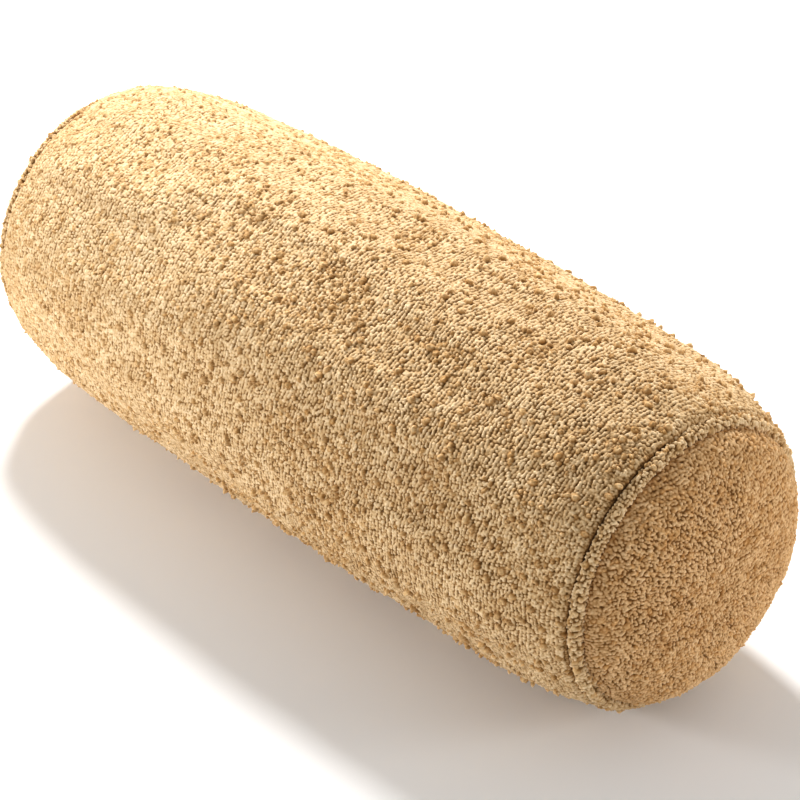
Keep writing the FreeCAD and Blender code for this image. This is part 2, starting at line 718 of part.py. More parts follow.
def pull():
    """The pull: a pin through the slider's eye, two arms beside the lug, and a flat tab."""
    body = new_body("ZipPull")
    pin = new_sketch(body, "XZ_Plane", "pull_pin_outline")
    pin.addGeometry(Part.Circle(ORIGIN, Z_AXIS, size("pin_radius")), False)
    pin.addConstraint(Sketcher.Constraint("Coincident", 0, CENTRE, HORIZONTAL_AXIS, START))
    limit(pin, "pin", "Radius", 0, size("pin_radius"), to="@pin_radius")
    pad(body, pin, "pull_pin", "@pull_width", symmetric=True)
    tab = new_sketch(body, "XY_Plane", "pull_tab_outline")
    half = size("pull_width") / 2
    tail = half - size("pull_length")
    edges = [
        Part.LineSegment(vec(0, half), vec(tail, half)),
        arc(tail, 0, half, vec(tail, half * 2), vec(tail, -half * 2)),
        Part.LineSegment(vec(tail, -half), vec(0, -half)),
        Part.LineSegment(vec(0, -half), vec(0, half)),
        Part.Circle(vec(tail, 0), Z_AXIS, size("grip_hole")),
    ]
    tab.addGeometry(edges, False)
    join(tab, "Tangent", (0, END), (1, START))
    join(tab, "Tangent", (1, END), (2, START))
    join(tab, "Coincident", (2, END), (3, START))
    join(tab, "Coincident", (3, END), (0, START))
    tab.addConstraint(Sketcher.Constraint("Horizontal", 0))
    tab.addConstraint(Sketcher.Constraint("PointOnObject", 1, CENTRE, HORIZONTAL_AXIS))
    tab.addConstraint(Sketcher.Constraint("PointOnObject", 0, START, VERTICAL_AXIS))
    tab.addConstraint(Sketcher.Constraint("PointOnObject", 2, END, VERTICAL_AXIS))
    join(tab, "Coincident", (4, CENTRE), (1, CENTRE))
    origin = (HORIZONTAL_AXIS, START)
    limit(tab, "round_end", "Radius", 1, half, to="@pull_width / 2")
    limit(tab, "tail", "DistanceX", *origin, 1, CENTRE, tail, to="@pull_width / 2 - @pull_length")
    limit(tab, "grip", "Radius", 4, size("grip_hole"), to="@grip_hole")
    pad(body, tab, "pull_tab", "@pull_thick", symmetric=True)
    window = new_sketch(body, "XY_Plane", "pull_window_outline")
    rectangle(window, "window", "-@pull_window", "-@pin_radius", "-@window_width / 2",
              "@window_width / 2")
    solid_before = body.Shape.Volume
    opening = body.newObject("PartDesign::Pocket", "pull_window")
    opening.Profile = window
    opening.SideType = "Symmetric"
    bind(opening, Length="2 * @pull_thick")
    body.Tip = opening
    doc.recompute()
    if body.Shape.Volume >= solid_before:
        raise RuntimeError("the pull's window cut nothing")
    node(body, "zip_pull", f"{ZIP_FRAME} * {SLIDER_PLACE.format('@eye_height')}")


def care_label():
    """A blank woven label, caught in the lower stitching of the zip, inside the cover."""
    plate = box("CareLabel", "@label_length", "@label_width", "@label_thick", "@label_start",
                "@zip_stitch_row - @label_overlap", "-@tape_depth - @thread - @label_thick - @fit_gap")
    framed(plate, "care_label", f"{ZIP_FRAME} * {{}}")


# ---------------------------------------------------------------- insert

OUT_OF_CASING = "@knit + @insert_gap"
IN_CASING = "@knit + @insert_gap + @casing"
IN_FILLING = "@knit + @insert_gap + @casing + @fit_gap"


def casing_barrel():
    """The insert's own barrel, a thin woven tube with turned-in ends."""
    outside = form("casing_outside", OUT_OF_CASING, "@insert_zip_depth")
    inside = form("casing_inside", IN_CASING, "(@insert_zip_depth + @casing)")
    mouth = bore("casing_mouth", "@casing_mouth")
    node(cut("CasingBarrel", outside, [inside, mouth]), "insert_casing_barrel", AXIS_FRAME)


def dome(name, radius_text, drop, rim_text, back_text, shell):
    """A ball-shaped end cap about the centre line, from its rim to its apex; solid, or a shell."""
    body = new_body(name)
    sketch = new_sketch(body, "XZ_Plane", f"{name}_outline")
    apex = size("half_overall") - inset_value(OUT_OF_CASING)
    centre = apex - size("casing_dome_radius")
    radius = size("casing_dome_radius") - drop
    origin = (HORIZONTAL_AXIS, START)
    centre_text = "@half_overall - @knit - @insert_gap - @casing_dome_radius"
    if shell:
        base = size("half_barrel") - inset_value(OUT_OF_CASING)
        thin = radius - size("casing")
        up = vec(base, (radius**2 - (base - centre) ** 2) ** 0.5)
        inner_up = vec(base, (thin**2 - (base - centre) ** 2) ** 0.5)
        edges = [
            arc(centre, 0, radius, vec(centre + radius, 0), up),
            Part.LineSegment(up, inner_up),
            arc(centre, 0, thin, vec(centre + thin, 0), inner_up),
            Part.LineSegment(vec(centre + thin, 0), vec(centre + radius, 0)),
        ]
        sketch.addGeometry(edges, False)
        join(sketch, "Coincident", (0, END), (1, START))
        join(sketch, "Coincident", (1, END), (2, END))
        join(sketch, "Coincident", (2, START), (3, START))
        join(sketch, "Coincident", (3, END), (0, START))
        join(sketch, "Coincident", (0, CENTRE), (2, CENTRE))
        sketch.addConstraint(Sketcher.Constraint("Vertical", 1))
        sketch.addConstraint(Sketcher.Constraint("PointOnObject", 0, START, HORIZONTAL_AXIS))
        sketch.addConstraint(Sketcher.Constraint("PointOnObject", 2, START, HORIZONTAL_AXIS))
        sketch.addConstraint(Sketcher.Constraint("PointOnObject", 0, CENTRE, HORIZONTAL_AXIS))
        limit(sketch, "inner", "Radius", 2, thin, to=f"{radius_text} - @casing")
        limit(sketch, "base", "DistanceX", *origin, 1, START, base, to=back_text)
    else:
        rim = size("casing_mouth") - size("casing")
        back = size("half_barrel") - size("filling_join")
        front = centre + (radius**2 - rim**2) ** 0.5
        edges = [
            arc(centre, 0, radius, vec(centre + radius, 0), vec(front, rim)),
            Part.LineSegment(vec(front, rim), vec(back, rim)),
            Part.LineSegment(vec(back, rim), vec(back, 0)),
            Part.LineSegment(vec(back, 0), vec(centre + radius, 0)),
        ]
        sketch.addGeometry(edges, False)
        for a, b in ((0, 1), (1, 2), (2, 3)):
            join(sketch, "Coincident", (a, END), (b, START))
        join(sketch, "Coincident", (3, END), (0, START))
        sketch.addConstraint(Sketcher.Constraint("Horizontal", 1))
        sketch.addConstraint(Sketcher.Constraint("Vertical", 2))
        sketch.addConstraint(Sketcher.Constraint("PointOnObject", 3, START, HORIZONTAL_AXIS))
        sketch.addConstraint(Sketcher.Constraint("PointOnObject", 0, START, HORIZONTAL_AXIS))
        sketch.addConstraint(Sketcher.Constraint("PointOnObject", 0, CENTRE, HORIZONTAL_AXIS))
        limit(sketch, "rim", "DistanceY", *origin, 1, END, rim, to=rim_text)
        limit(sketch, "back", "DistanceX", *origin, 2, START, back, to=back_text)
    limit(sketch, "centre", "DistanceX", *origin, 0, CENTRE, centre, to=centre_text)
    limit(sketch, "radius", "Radius", 0, radius, to=radius_text)
    revolve(body, sketch, f"{name}_turned")
    return body


def casing_end(label, frame):
    body = dome(label.title().replace("_", ""), "@casing_dome_radius", 0, None,
                "@half_barrel - @knit - @insert_gap", shell=True)
    node(body, label, frame)


def casing_seam_thread(label, frame):
    """The overlocked edge between casing barrel and casing end, drawn as one ring of thread."""
    loop = ring(f"{label}_loop", "@casing_dome_rim + @thread", "@thread / 2",
                "@half_barrel - @knit - @insert_gap + @thread / 2 + @fit_gap / 2")
    node(together(label.title().replace("_", ""), "Part::Compound", [loop]), label, frame)


def casing_closing_stitch():
    """The line that closes the casing after it is stuffed."""
    line = rod("CasingClosingStitch", "@thread / 2", "@closing_stitch_length",
               "@closing_stitch_start", "-@zip_stitch_row", "-@insert_zip_depth + @thread / 2")
    framed(line, "insert_closing_stitch", f"{ZIP_FRAME} * {{}}")


def filling():
    """Loose fibre, as the one mass that it presses into."""
    middle = form("filling_middle", IN_FILLING, "(@insert_zip_depth + @casing + @fit_gap)")
    drop = size("casing") + size("fit_gap")
    ends = []
    for name in ("FillingNear", "FillingFar"):
        ends.append(dome(name, "@casing_dome_radius - @casing - @fit_gap", drop,
                         "@casing_mouth - @casing", "@half_barrel - @filling_join", shell=False))
    place(ends[1], TURNED)
    whole = together("Filling", "Part::MultiFuse", [middle, *ends])
    node(whole, "fibre_filling", AXIS_FRAME)


# ---------------------------------------------------------------- build

END_FRAMES = {"near": AXIS_FRAME, "far": f"{AXIS_FRAME} * {TURNED}"}
SEAM_FRAMES = {"near": RADIAL_FRAME, "far": f"{RADIAL_FRAME} * {TURNED}"}

cover_barrel()
for side, frame in END_FRAMES.items():
    cover_end(f"cover_end_{side}", frame)
    welt(f"welt_strip_{side}", frame)
    cord = ring(f"WeltCord{side}", "@welt_ring", "@welt_radius - @welt_strip - @fit_gap",
                "@welt_along")
    node(together(f"WeltCord{side}Whole", "Part::Compound", [cord]), f"welt_cord_{side}", frame)
    end_seam_thread(f"end_seam_thread_{side}", frame)
for side, frame in SEAM_FRAMES.items():
    closing_seam_thread(f"closing_seam_thread_{side}", frame)
zip_half("upper", -1)
zip_half("lower", 1)
zip_stops()
zip_bartacks()
slider()
pull()
care_label()
casing_barrel()
for side, frame in END_FRAMES.items():
    casing_end(f"insert_casing_end_{side}", frame)
    casing_seam_thread(f"insert_seam_thread_{side}", frame)
casing_closing_stitch()
filling()
doc.recompute()

for obj in doc.Objects:
    if {"Invalid", "Error"} & set(obj.State):
        raise RuntimeError(f"{obj.Label} failed: {obj.State}")
for piece in nodes:
    if piece.Shape.isNull() or not piece.Shape.isValid() or not piece.Shape.Solids:
        raise RuntimeError(f"{piece.Label} has no valid solid")

os.makedirs("parts", exist_ok=True)
for piece in nodes:
    piece.Shape.exportStep(f"parts/{piece.Label}.step")
    bounds = piece.Shape.BoundBox
    print(f"{piece.Label}: {len(piece.Shape.Solids)} solid, {piece.Shape.Volume:.1f} mm3, "
          f"x {bounds.XMin:.1f} to {bounds.XMax:.1f}, y {bounds.YMin:.1f} to {bounds.YMax:.1f}, "
          f"z {bounds.ZMin:.1f} to {bounds.ZMax:.1f}")
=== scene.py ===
import math

import bpy
import numpy as np
from mathutils import Matrix, Vector


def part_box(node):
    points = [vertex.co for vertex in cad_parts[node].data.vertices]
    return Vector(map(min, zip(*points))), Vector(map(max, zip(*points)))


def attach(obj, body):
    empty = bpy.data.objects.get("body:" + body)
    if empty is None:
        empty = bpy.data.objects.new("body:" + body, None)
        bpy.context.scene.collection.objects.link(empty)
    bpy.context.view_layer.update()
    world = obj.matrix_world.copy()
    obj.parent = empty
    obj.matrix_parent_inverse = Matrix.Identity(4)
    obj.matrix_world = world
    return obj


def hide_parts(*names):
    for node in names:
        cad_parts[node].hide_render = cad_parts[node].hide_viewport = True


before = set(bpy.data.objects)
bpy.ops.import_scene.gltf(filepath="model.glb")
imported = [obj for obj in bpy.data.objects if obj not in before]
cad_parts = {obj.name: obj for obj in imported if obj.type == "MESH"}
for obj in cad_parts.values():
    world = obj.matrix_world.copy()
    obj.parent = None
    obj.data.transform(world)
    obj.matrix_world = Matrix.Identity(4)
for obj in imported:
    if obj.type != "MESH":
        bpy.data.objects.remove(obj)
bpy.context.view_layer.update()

# ---------------------------------------------------------------- sizes, in metres
MM = 0.001
barrel_low, barrel_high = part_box("cover_barrel")
end_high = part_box("cover_end_near")[1]
tape_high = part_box("zip_tape_upper")[1]

HALF_BARREL = barrel_high.x
RADIUS = -barrel_low.y
AXIS_Z = barrel_high.z - RADIUS
HALF_LENGTH = end_high.x
PILE = 1.0 * MM  # the backing lies this far under the middle of the pile
CROWN_RADIUS = 2160 * MM
SHOULDER_CENTRE = 145.5 * MM
SHOULDER_RADIUS = 155 * MM
END_GIVE = 1.2 * MM  # the filled knit lies this far inside its solid's face
CROWN_GIVE = 1.9 * MM  # and this much further at the crown
ROLL_RADIUS = 4.9 * MM
ROLL_X = HALF_BARREL - 4.1 * MM
ROLL_PAST = 0.75  # how far the roll turns under past its end, in radians
WELT_RADIUS = 2.6 * MM
WELT_X = 201.5 * MM
WELT_RING = 69.0 * MM
GROOVE_OPEN = math.radians(160)  # the groove beside the piping opens widest there, and closes opposite
WELT_JOIN = math.radians(95)  # where the ends of each bias strip meet
PANEL_RING = 66.8 * MM
PANEL_X = 201.8 * MM
ZIP_ANGLE = math.radians(8)
ZIP_PLANE = 82.4 * MM
ZIP_END = 151 * MM
STITCH_ROW = 8.5 * MM
SHUT_HALF = 0.2 * MM  # half the gap between the knit's two edges where the closing seam joins them
SLOT_HALF = 5.4 * MM  # and this much more along the zip
LIP_RADIUS = 1.25 * MM
TAPE_SPAN = (0.6 * MM, 11.5 * MM)
TAPE_DEPTHS = (2.6 * MM, 3.3 * MM)
COIL_MIDDLE, COIL_DEPTH = 1.9 * MM, 1.7 * MM
COIL_WIDTH, COIL_THICK = 2.6 * MM, 1.8 * MM
COIL_PITCH = 1.5 * MM
LABEL_WIDTH, LABEL_DEPTH = 20 * MM, 4.3 * MM
THREAD = 0.9 * MM  # the spacing of the casing cotton's threads
CASING_GAP = 3.8 * MM  # from the knit's backing to the insert's casing
CASING_FACE = 76.4 * MM  # the insert lies this flat behind the zip
CASING_DOME, CASING_RING = 82 * MM, 60 * MM
CASING_END = 194.7 * MM

NEAR, FAR = 1, -1
zip_out = np.array([0, math.cos(ZIP_ANGLE), math.sin(ZIP_ANGLE)])
zip_down = np.array([0, math.sin(ZIP_ANGLE), -math.cos(ZIP_ANGLE)])
axis_point = np.array([0, 0, AXIS_Z])


# ---------------------------------------------------------------- numbers on grids
def smooth_step(low, high, t):
    t = np.clip((t - low) / (high - low), 0, 1)
    return t * t * (3 - 2 * t)


def soft_excess(t, width):
    """How far t is above 0, with a rounded corner of that width."""
    return 0.5 * (t + np.sqrt(t * t + width * width))


def sample(table, a, b, wrap=False):
    """The table's value at the float places a, b, by cubic interpolation. Along b it may wrap round."""
    ia, ib = np.floor(a).astype(int), np.floor(b).astype(int)
    count = table.shape[1]

    def weights(f):
        f = f if table.ndim == 2 else f[..., None]
        return (
            ((-0.5 * f + 1.0) * f - 0.5) * f,
            (1.5 * f - 2.5) * f * f + 1.0,
            ((-1.5 * f + 2.0) * f + 0.5) * f,
            (0.5 * f - 0.5) * f * f,
        )

    rows = [np.clip(ia + k, 0, table.shape[0] - 1) for k in range(-1, 3)]
    cols = [(ib + k) % count if wrap else np.clip(ib + k, 0, count - 1) for k in range(-1, 3)]
    total = 0
    for r, row_weight in zip(rows, weights(a - ia)):
        line = sum(table[r, c] * weight for c, weight in zip(cols, weights(b - ib)))
        total = total + line * row_weight
    return total


def noise(p, q, size, seed):
    """Smooth noise of about unit height, with lumps of that size, at the places p, q."""
    a, b = p / size, q / size
    low_a, low_b = math.floor(a.min()) - 2, math.floor(b.min()) - 2
    shape = (int(a.max() - low_a) + 4, int(b.max() - low_b) + 4)
    table = np.random.default_rng(seed).uniform(-1, 1, shape)
    return sample(table, a - low_a, b - low_b)


# yarn, in millimetres: the rows of stitches, the curls that lie every way, and the nubs of three sizes
STITCHES = dict(pitch=1.95, spacing=1.65, length=2.0, slant=0.3, loose=0.45, turn=0.5, swell=0.3, flat=0.45)
CURLS = dict(pitch=1.45, spacing=1.45, length=1.8, width=1.6, loose=0.85, turn=1.6, swell=0.35, flat=0.6)
NUBS = dict(loose=1.0, turn=1.6, flat=0.5)
LARGE_NUBS = dict(NUBS, pitch=7.2, spacing=7.2, length=3.6, width=3.0, keep=0.26, swell=0.35)
SMALL_NUBS = dict(NUBS, pitch=4.6, spacing=4.6, length=2.3, width=2.0, keep=0.22, swell=0.35)
BITS = dict(NUBS, pitch=2.9, spacing=2.9, length=2.2, width=1.8, keep=0.45, swell=0.3)
NOWHERE = 9.0  # stands for the distance to a lump where there is none near


def beads(p, q, seed, pitch, spacing, length, width, loose, turn, swell, flat, slant=0.0, keep=1.0):
    """Rounded lumps of yarn in rows: the topmost one's height at p, q and its shade, and how near one is.

    Rows are pitch apart along p, and the lumps in one are spacing apart along q. loose, turn and swell
    are how much a lump's place, slant and size vary, and keep is the share of them that is there. A
    smaller flat makes their tops flatter. The width may differ from place to place.
    """
    draw = np.random.default_rng(seed)
    row, low_row = np.floor(p / pitch).astype(int), int(np.floor(p.min() / pitch)) - 3
    low_col = int(np.floor(q.min() / spacing)) - 4
    shape = (int(np.floor(p.max() / pitch)) - low_row + 5, int(np.floor(q.max() / spacing)) - low_col + 6)
    move_p, move_q = draw.uniform(-0.5, 0.5, shape) * loose, draw.uniform(-0.5, 0.5, shape) * loose
    angle = slant + draw.uniform(-1, 1, shape) * turn
    cosine, sine = np.cos(angle), np.sin(angle)
    longer, wider = 1 + draw.uniform(-1, 1, shape) * swell, 1 + draw.uniform(-1, 1, shape) * swell
    tall = (1 + draw.uniform(-1, 1, shape) * swell) * (draw.uniform(0, 1, shape) < keep)
    tone = draw.uniform(-1, 1, shape)
    phase = draw.uniform(-0.2, 0.2, shape[0]) + 0.5 * (np.arange(shape[0]) % 2)
    height, shade, near = np.zeros_like(p), np.zeros_like(p), np.full_like(p, NOWHERE)
    for i in (-1, 0, 1):
        r = row + i - low_row
        col = np.floor(q / spacing - phase[r]).astype(int)
        for j in (-1, 0, 1):
            c = col + j - low_col
            dp = p - (row + i + 0.5 + move_p[r, c]) * pitch
            dq = q - (col + j + 0.5 + phase[r] + move_q[r, c]) * spacing
            along = dq * cosine[r, c] + dp * sine[r, c]
            across = dp * cosine[r, c] - dq * sine[r, c]
            far = (along / (0.5 * length * longer[r, c])) ** 2 + (across / (0.5 * width * wider[r, c])) ** 2
            h = tall[r, c] * np.clip(1 - far, 0, None) ** flat
            top = h > height
            height, shade = np.where(top, h, height), np.where(top, tone[r, c], shade)
            near = np.minimum(near, np.where(tall[r, c] > 0, far, NOWHERE))
    return height, shade, near


def boucle(p, q, ribbed, seed, lively, calm):
    """The knit's pile at p, q in metres: its height, its openness (low openness is painted shade), how much
    of a nub it is, and its tone.

    ribbed is 1 where the rows of stitches show, and 0 where the curls lie every way. lively is how
    far its nubs stand up; the largest only show where it is over 0.3. calm is how far the stitches
    close up into an even net.
    """
    p, q = p / MM, q / MM
    wave = 0.8 * noise(p, q, 13, seed + 1) + 0.5 * noise(p, q, 4.5, seed + 2)
    rows, row_tone, _ = beads(p + wave, q, seed + 3, width=1.8 + 0.35 * calm, **STITCHES)
    curls, curl_tone, _ = beads(p, q, seed + 4, **CURLS)
    pile = rows * ribbed + curls * (1 - ribbed)
    pile = pile * (1 + 0.22 * noise(p, q, 3.1, seed + 12))
    tone = row_tone * ribbed + curl_tone * (1 - ribbed)
    crowd = 0.5 + 0.5 * np.clip(1.3 * noise(p, q, 24, seed + 5), -1, 1)
    tuft = smooth_step(0.5, 0.8, crowd)
    large, large_tone, near_large = beads(p, q, seed + 7, **LARGE_NUBS)
    small, small_tone, near_small = beads(p, q, seed + 6, **SMALL_NUBS)
    bits, bits_tone, near_bits = beads(p, q, seed + 13, **BITS)
    big = large * 1.95 * smooth_step(0.3, 0.8, lively)
    medium = small * (0.8 + 0.65 * lively)
    lumps = np.stack([big, medium, bits * 1.15 * tuft * lively])
    lump = lumps.max(0)
    which = lumps.argmax(0)
    lump_tone = np.choose(which, [large_tone, small_tone, bits_tone])
    domed = np.clip(np.choose(which, [large, small, bits]), 0, 1)
    around = np.minimum(np.minimum(near_small, near_large), np.where(tuft > 0.3, near_bits, NOWHERE))
    nub = np.clip(lump * 2.2, 0, 1)
    # the pit round each nub lowers the ground a little, and its colour is painted shade, darker and more
    # golden
    pit = (1 - nub) * smooth_step(-2.2, -1.0, -around) * lively
    fine = 0.22 * noise(p, q, 1.3, seed + 9) + 0.14 * noise(p, q, 2.3, seed + 10)
    ground = (0.8 + 0.25 * (1 - ribbed) - 0.2 * calm) * pile * (1 - 0.8 * nub) * (1 - 0.3 * pit)
    knobbly = 0.45 * curls * nub
    height = ground + lump * (1 + fine) + knobbly + 0.35 * fine + 0.3 * noise(p, q, 17, seed + 11)
    # openness, for colour: low between the beads and at the nubs' edges, where the material paints shade,
    # and a little higher where the net closes up
    seen = pile * (0.8 + 0.2 * ribbed) + 0.12 * (1 - ribbed)
    seen = seen + 0.08 * calm * (1 - seen)
    open_painted_shade = np.clip(seen * (1 - nub) * (1 - 0.45 * pit) + nub * domed * (0.6 + 0.4 * curls), 0, 1)
    tone = tone * (1 - nub) + lump_tone * nub
    nub = np.clip(nub * (0.72 + 0.28 * lump_tone) + 0.6 * pit, 0, 1)
    return height * MM, open_painted_shade, nub, tone


def normals_of(points, wrap=False):
    """Unit normals of a grid of points, from its two directions."""
    along = np.gradient(points, axis=0)
    if wrap:
        across = (np.roll(points, -1, axis=1) - np.roll(points, 1, axis=1)) / 2
    else:
        across = np.gradient(points, axis=1)
    n = np.cross(along, across)
    return n / np.maximum(np.linalg.norm(n, axis=-1, keepdims=True), 1e-12)


def outward_normals(points):
    """Unit normals of a grid of points round the axis, away from the axis."""
    n = normals_of(points)
    middle = (points.shape[0] // 2, points.shape[1] // 2)
    return -n if n[middle] @ (points[middle] - axis_point) < 0 else n


# ---------------------------------------------------------------- meshes
def make_mesh(name, points, faces, facts=None, uv=None):
    """A smooth mesh object from an array of points and one of faces, with facts and uv at each point."""
    mesh = bpy.data.meshes.new(name)
    count, sides = faces.shape
    mesh.vertices.add(len(points))
    mesh.vertices.foreach_set("co", points.astype(np.float32).ravel())
    mesh.loops.add(count * sides)
    mesh.loops.foreach_set("vertex_index", faces.astype(np.int32).ravel())
    mesh.polygons.add(count)
    mesh.polygons.foreach_set("loop_start", np.arange(0, count * sides, sides, dtype=np.int32))
    mesh.update(calc_edges=True)
    mesh.shade_smooth()
    for key, value in (facts or {}).items():
        fact = mesh.attributes.new(key, "FLOAT", "POINT")
        fact.data.foreach_set("value", value.astype(np.float32).ravel())
    if uv is not None:
        layer = mesh.uv_layers.new(name="OFBake")
        layer.data.foreach_set("uv", uv[faces.ravel()].astype(np.float32).ravel())
    obj = bpy.data.objects.new(name, mesh)
    bpy.context.scene.collection.objects.link(obj)
    return obj


def grid_faces(rows, cols, wrap=False):
    """The quads of a grid of points. With wrap, its last column joins its first."""
    i, j = np.meshgrid(np.arange(rows - 1), np.arange(cols if wrap else cols - 1), indexing="ij")
    k = (j + 1) % cols
    return np.stack([i * cols + j, i * cols + k, (i + 1) * cols + k, (i + 1) * cols + j], -1).reshape(-1, 4)


# ---------------------------------------------------------------- the cover's form
def barrel_profile():
    """Distance along the cloth from the middle, place along the axis and radius, to past the end seam."""
    crown = np.array([0, RADIUS - PILE - CROWN_RADIUS])
    reach = CROWN_RADIUS - SHOULDER_RADIUS
    shoulder = np.array([SHOULDER_CENTRE, crown[1] + math.sqrt(reach**2 - SHOULDER_CENTRE**2)])
    reach = SHOULDER_RADIUS - ROLL_RADIUS
    roll = np.array([ROLL_X, shoulder[1] + math.sqrt(reach**2 - (ROLL_X - SHOULDER_CENTRE) ** 2)])
    turns = [math.pi / 2]
    for a, b in ((crown, shoulder), (shoulder, roll)):
        turns.append(math.atan2(b[1] - a[1], b[0] - a[0]))
    turns.append(-ROLL_PAST)
    line = []
    for centre, radius, start, end in zip(
        (crown, shoulder, roll), (CROWN_RADIUS, SHOULDER_RADIUS, ROLL_RADIUS), turns, turns[1:]
    ):
        t = np.linspace(start, end, 200)
        line.append(centre + radius * np.c_[np.cos(t), np.sin(t)])
    line = np.concatenate(line)
    s = np.r_[0, np.cumsum(np.linalg.norm(np.diff(line, axis=0), axis=1))]
    return s, line[:, 0], line[:, 1]


profile_s, profile_x, profile_r = barrel_profile()
CLOTH_HALF = profile_s[-1]


def barrel_form(s, angle):
    """Points of the filled barrel at distance s along the cloth and that angle round the axis.

    It gives a little everywhere but at its end rolls, along the zip and underneath.
    """
    x = np.sign(s) * np.interp(np.abs(s), profile_s, profile_x)
    r = np.interp(np.abs(s), profile_s, profile_r)
    give = END_GIVE + CROWN_GIVE * np.clip(1 - (x / SHOULDER_CENTRE) ** 2, 0, 1)
    give = give * smooth_step(0, 30 * MM, ROLL_X - np.abs(x))
    give = give * (1 - smooth_step(0.64, 0.9, np.cos(angle - ZIP_ANGLE)))
    r = r - give * (1 - smooth_step(0.86, 0.97, -np.sin(angle)))
    p = np.stack([x, r * np.cos(angle), r * np.sin(angle)], -1)
    p = p - soft_excess(p @ zip_out - ZIP_PLANE, 2.0 * MM)[..., None] * zip_out
    p[..., 2] += AXIS_Z
    p[..., 2] += soft_excess(-p[..., 2], 3.0 * MM)
    return p


def end_form(rho, angle, side):
    """Points of an end panel at radius rho from the axis: a crowned disc that turns down into its seam."""
    t = np.clip(rho / PANEL_RING, 0, 1)
    rise = HALF_LENGTH - PILE - PANEL_X
    x = PANEL_X + rise * (1 - t**2.7) ** 0.49
    return np.stack([side * x, rho * np.cos(angle), AXIS_Z + rho * np.sin(angle)], -1)


def groove(angle):
    """How open the groove between barrel and piping is, 0 to 1, at that angle round the axis."""
    return smooth_step(0.2, 0.6, np.cos(angle - GROOVE_OPEN))


def welt_form(turn, angle, side):
    """Points of the piping, turn round its own section and angle round the axis."""
    tucked = 1 - groove(angle)
    r = WELT_RING - 0.6 * MM * tucked + WELT_RADIUS * np.cos(turn)
    x = WELT_X - 1.3 * MM * tucked + WELT_RADIUS * np.sin(turn)
    return np.stack([side * x, r * np.cos(angle), AXIS_Z + r * np.sin(angle)], -1)


# ---------------------------------------------------------------- the cloth settles over its filling
SETTLE_ROWS, SETTLE_COLS, SETTLE_RINGS = 91, 150, 20
SETTLE_FRAMES = 20
SETTLE_CAP = 1.3 * MM  # the cloth moves less than this
SLACK, END_SLACK = 0.985, 0.92  # how far out the cloth starts, as shares of its filled form
FIRST_RING = 0.04  # the settling cloth's innermost ring, as a share of the panel's radius


def slack_barrel(form):
    """The barrel's cloth before it fills, and which points are sewn down or on the ground."""
    start = form.copy()
    start[..., 1] *= SLACK
    start[..., 2] = AXIS_Z + (start[..., 2] - AXIS_Z) * SLACK
    held = form[..., 2] < 2.2 * MM
    held[:3], held[-3:], held[:, 0] = True, True, True
    return start, held


def slack_end(form):
    """An end panel's cloth before it fills, and which points are sewn down."""
    start = form.copy()
    start[..., 0] = np.sign(start[..., 0]) * (PANEL_X + (np.abs(start[..., 0]) - PANEL_X) * END_SLACK)
    held = np.zeros(form.shape[:2], bool)
    held[-1:] = True
    return start, held


def pressed_out(obj, held):
    """Where a slack cloth's points come to when pressure fills it and its held points stay."""
    group = obj.vertex_groups.new(name="held")
    group.add(np.nonzero(held)[0].tolist(), 1.0, "REPLACE")
    cloth = obj.modifiers.new("cloth", "CLOTH")
    settings = cloth.settings
    settings.vertex_group_mass = "held"
    settings.quality = 6
    settings.mass = 0.3
    settings.tension_stiffness = settings.compression_stiffness = 14
    settings.shear_stiffness = 6
    settings.bending_stiffness = 0.6
    settings.shrink_min = -0.008
    settings.use_pressure = True
    settings.uniform_pressure_force = 4
    settings.effector_weights.gravity = 0
    cloth.collision_settings.use_collision = False
    cloth.point_cache.frame_start, cloth.point_cache.frame_end = 1, SETTLE_FRAMES
    scene = bpy.context.scene
    for step in range(1, SETTLE_FRAMES + 1):
        scene.frame_set(step)
    shown = obj.evaluated_get(bpy.context.evaluated_depsgraph_get())
    spots = np.zeros(len(shown.data.vertices) * 3, np.float32)
    shown.data.vertices.foreach_get("co", spots)
    scene.frame_set(1)
    return spots.reshape(-1, 3)


def gentle(move):
    """What is left of a grid of moves without their mean over a sixth of a turn, smoothed and capped."""
    free = move - sum(np.roll(move, j, axis=1) for j in range(-12, 13)) / 25
    for _ in range(5):
        free = (np.roll(free, 1, axis=1) + free + np.roll(free, -1, axis=1)) / 3
        free[1:-1] = (free[:-2] + free[1:-1] + free[2:]) / 3
    size = np.linalg.norm(free, axis=-1, keepdims=True)
    return free * np.tanh(size / SETTLE_CAP) * SETTLE_CAP / np.maximum(size, 1e-9)


def settle():
    """How far the cloth moves when its filling presses it out.

    The moves of the barrel and of the near and the far end panel come back as grids of their own.
    """
    s = np.linspace(-CLOTH_HALF, CLOTH_HALF, SETTLE_ROWS)
    angle = ZIP_ANGLE + np.linspace(0, 2 * np.pi, SETTLE_COLS, endpoint=False)
    ring = np.linspace(FIRST_RING, 1, SETTLE_RINGS) * PANEL_RING
    forms = [barrel_form(*np.meshgrid(s, angle, indexing="ij"))]
    for side in (NEAR, FAR):
        forms.append(end_form(*np.meshgrid(ring, angle, indexing="ij"), side))
    starts, faces, held, base = [], [], [], 0
    draw = np.random.default_rng(5)
    for slack, turned, form in zip((slack_barrel, slack_end, slack_end), (True, False, True), forms):
        start, pinned = slack(form)
        start[pinned] = form[pinned]
        start[~pinned] += draw.normal(0, 0.12 * MM, (int((~pinned).sum()), 3))
        quads = grid_faces(*form.shape[:2], wrap=True) + base
        faces.append(quads[:, ::-1] if turned else quads)
        starts.append(start.reshape(-1, 3))
        held.append(pinned.ravel())
        base += len(starts[-1])
    obj = make_mesh("settling", np.concatenate(starts), np.concatenate(faces))
    moved = pressed_out(obj, np.concatenate(held))
    bpy.data.objects.remove(obj)
    moves, base = [], 0
    for form, start in zip(forms, starts):
        moves.append(gentle(moved[base : base + len(start)].reshape(form.shape) - form))
        base += len(start)
    return moves


barrel_move, near_move, far_move = settle()


